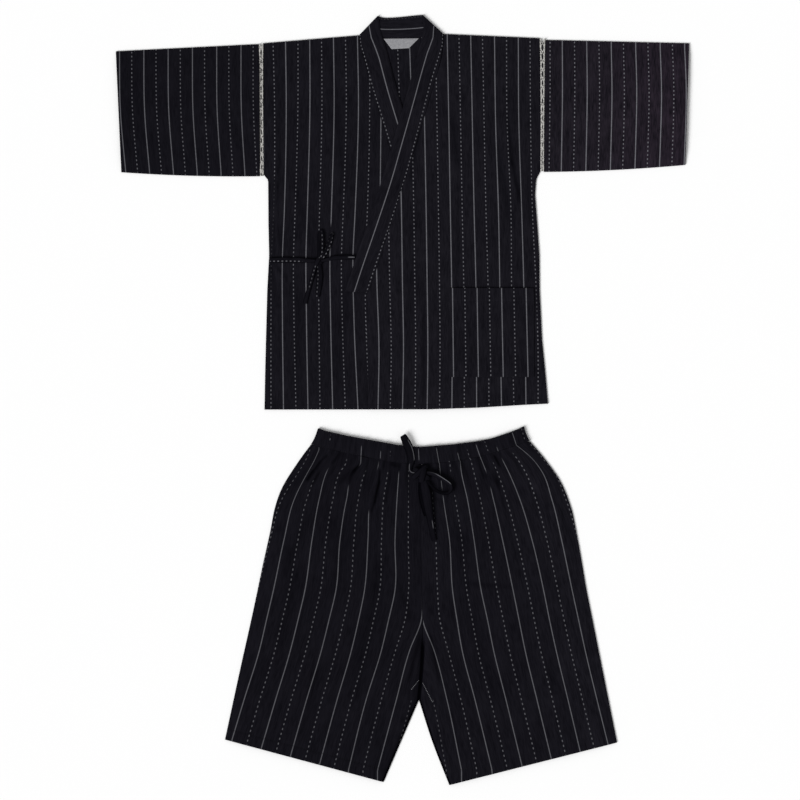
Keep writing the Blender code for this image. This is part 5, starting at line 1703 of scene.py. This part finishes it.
def build_studio():
    """A pale floor, soft light and the camera above."""
    scene = bpy.context.scene
    scene.view_settings.view_transform = "Standard"

    def place_object(name, data, place=(0.0, 0.0, 0.0)):
        made = bpy.data.objects.new(name, data)
        scene.collection.objects.link(made)
        made.location = place
        return made

    mesh = bpy.data.meshes.new("studio_floor")
    signs = ((-1, -1), (1, -1), (1, 1), (-1, 1))
    corners = [(FLOOR_REACH * across, FLOOR_REACH * up, FLOOR_LEVEL) for across, up in signs]
    mesh.from_pydata(corners, [], [(0, 1, 2, 3)])
    material = bpy.data.materials.new("studio_paper")
    material.use_nodes = True
    shader = material.node_tree.nodes["Principled BSDF"]
    shader.inputs["Base Color"].default_value = (0.985, 0.985, 0.985, 1.0)
    shader.inputs["Roughness"].default_value = 0.9
    shader.inputs["Specular IOR Level"].default_value = 0.2
    mesh.materials.append(material)
    place_object("studio_floor", mesh)

    world = bpy.data.worlds.new("studio")
    world.use_nodes = True
    sky = world.node_tree.nodes["Background"]
    sky.inputs["Color"].default_value = (1.0, 1.0, 1.0, 1.0)
    sky.inputs["Strength"].default_value = SKY_STRENGTH
    scene.world = world

    light = bpy.data.lights.new("key", "SUN")
    light.angle = math.radians(LIGHT_ANGLE)
    light.energy = LIGHT_STRENGTH
    holder = place_object("key", light, LIGHT_PLACE)
    holder.rotation_euler = (-Vector(LIGHT_PLACE)).to_track_quat("-Z", "Y").to_euler()

    camera = bpy.data.cameras.new("camera")
    camera.lens = CAMERA_LENS
    camera.sensor_width = 36.0
    camera.clip_end = 50.0
    scene.camera = place_object("camera", camera, (CAMERA_X, 0.0, CAMERA_HEIGHT))


def build_jacket(thread):
    cloth = striped_cloth("jacket_cotton", *JACKET_CLOTH)
    trim, label = openwork_cotton(), label_tape()
    back, over, lines = build_body(cloth)
    lines += build_pocket(cloth)
    lines += build_collar(cloth)
    build_label(label)
    # Painted light on the sleeves: the right one painted a little darker towards its cuff as shade,
    # the left one lighter and warmer towards its cuff.
    lines += build_sleeve(
        "right_sleeve", "sleeve_right", RIGHT_SLEEVE, RIGHT_SLEEVE_STRIPES, RIGHT_SLEEVE_SHOWS,
        (0.0, -0.1), cloth
    )
    lines += build_sleeve(
        "left_sleeve", "sleeve_left", LEFT_SLEEVE, LEFT_SLEEVE_STRIPES, None, (0.65, 1.0), cloth
    )
    sew("jacket_stitches", lines, thread)
    for side in ("right", "left"):
        for face, z in (("front", INSERT_FRONT_Z), ("back", 0.0)):
            build_openwork(f"openwork_{side}_{face}", f"insert_{side}_{face}", side, z, trim)
    build_ties(cloth)
    build_wraps(
        "bow_knot", "tie_knot", (*BOW_CENTRE, on_inner_front(*BOW_CENTRE) + 0.5 * BOW_SIZE[2]),
        BOW_SIZE, BOW_WRAPS, TIE_WALL, cloth,
    )


def build_shorts(thread):
    cloth = striped_cloth("shorts_cotton", *SHORTS_CLOTH)
    # Painted light: each leg is painted lighter towards its outer edge, the left leg much more.
    right_hem, right_leg = build_leg(
        "right_leg", "leg_right", RIGHT_LEG, RIGHT_LEG_STRIPES, RIGHT_LEG_SHOWS, RIGHT_LEG_FOLDS,
        (0.0, 0.05), cloth,
    )
    left_hem, left_leg = build_leg(
        "left_leg", "leg_left", LEFT_LEG, LEFT_LEG_STRIPES, LEFT_LEG_SHOWS, LEFT_LEG_FOLDS,
        (0.12, 0.55), cloth,
    )
    sew("shorts_stitches", right_hem + left_hem + build_waistband(cloth), thread)
    tacks = [lying_on(right_leg, *RIGHT_TACK), lying_on(left_leg, *LEFT_TACK)]
    sew("crotch_stitches", tacks, sewing_thread("pale_thread", PALE_THREAD), TACK_WIDTH)
    build_drawstring(cloth)
    build_wraps(
        "string_bow_knot", "string_knot", KNOT_CENTRE, KNOT_SIZE, KNOT_WRAPS, STRING_WALL, cloth,
        scale=SHORTS_SCALE,
    )


def main():
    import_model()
    build_studio()
    thread = sewing_thread("dark_thread", DARK_THREAD)
    build_jacket(thread)
    build_shorts(thread)


main()
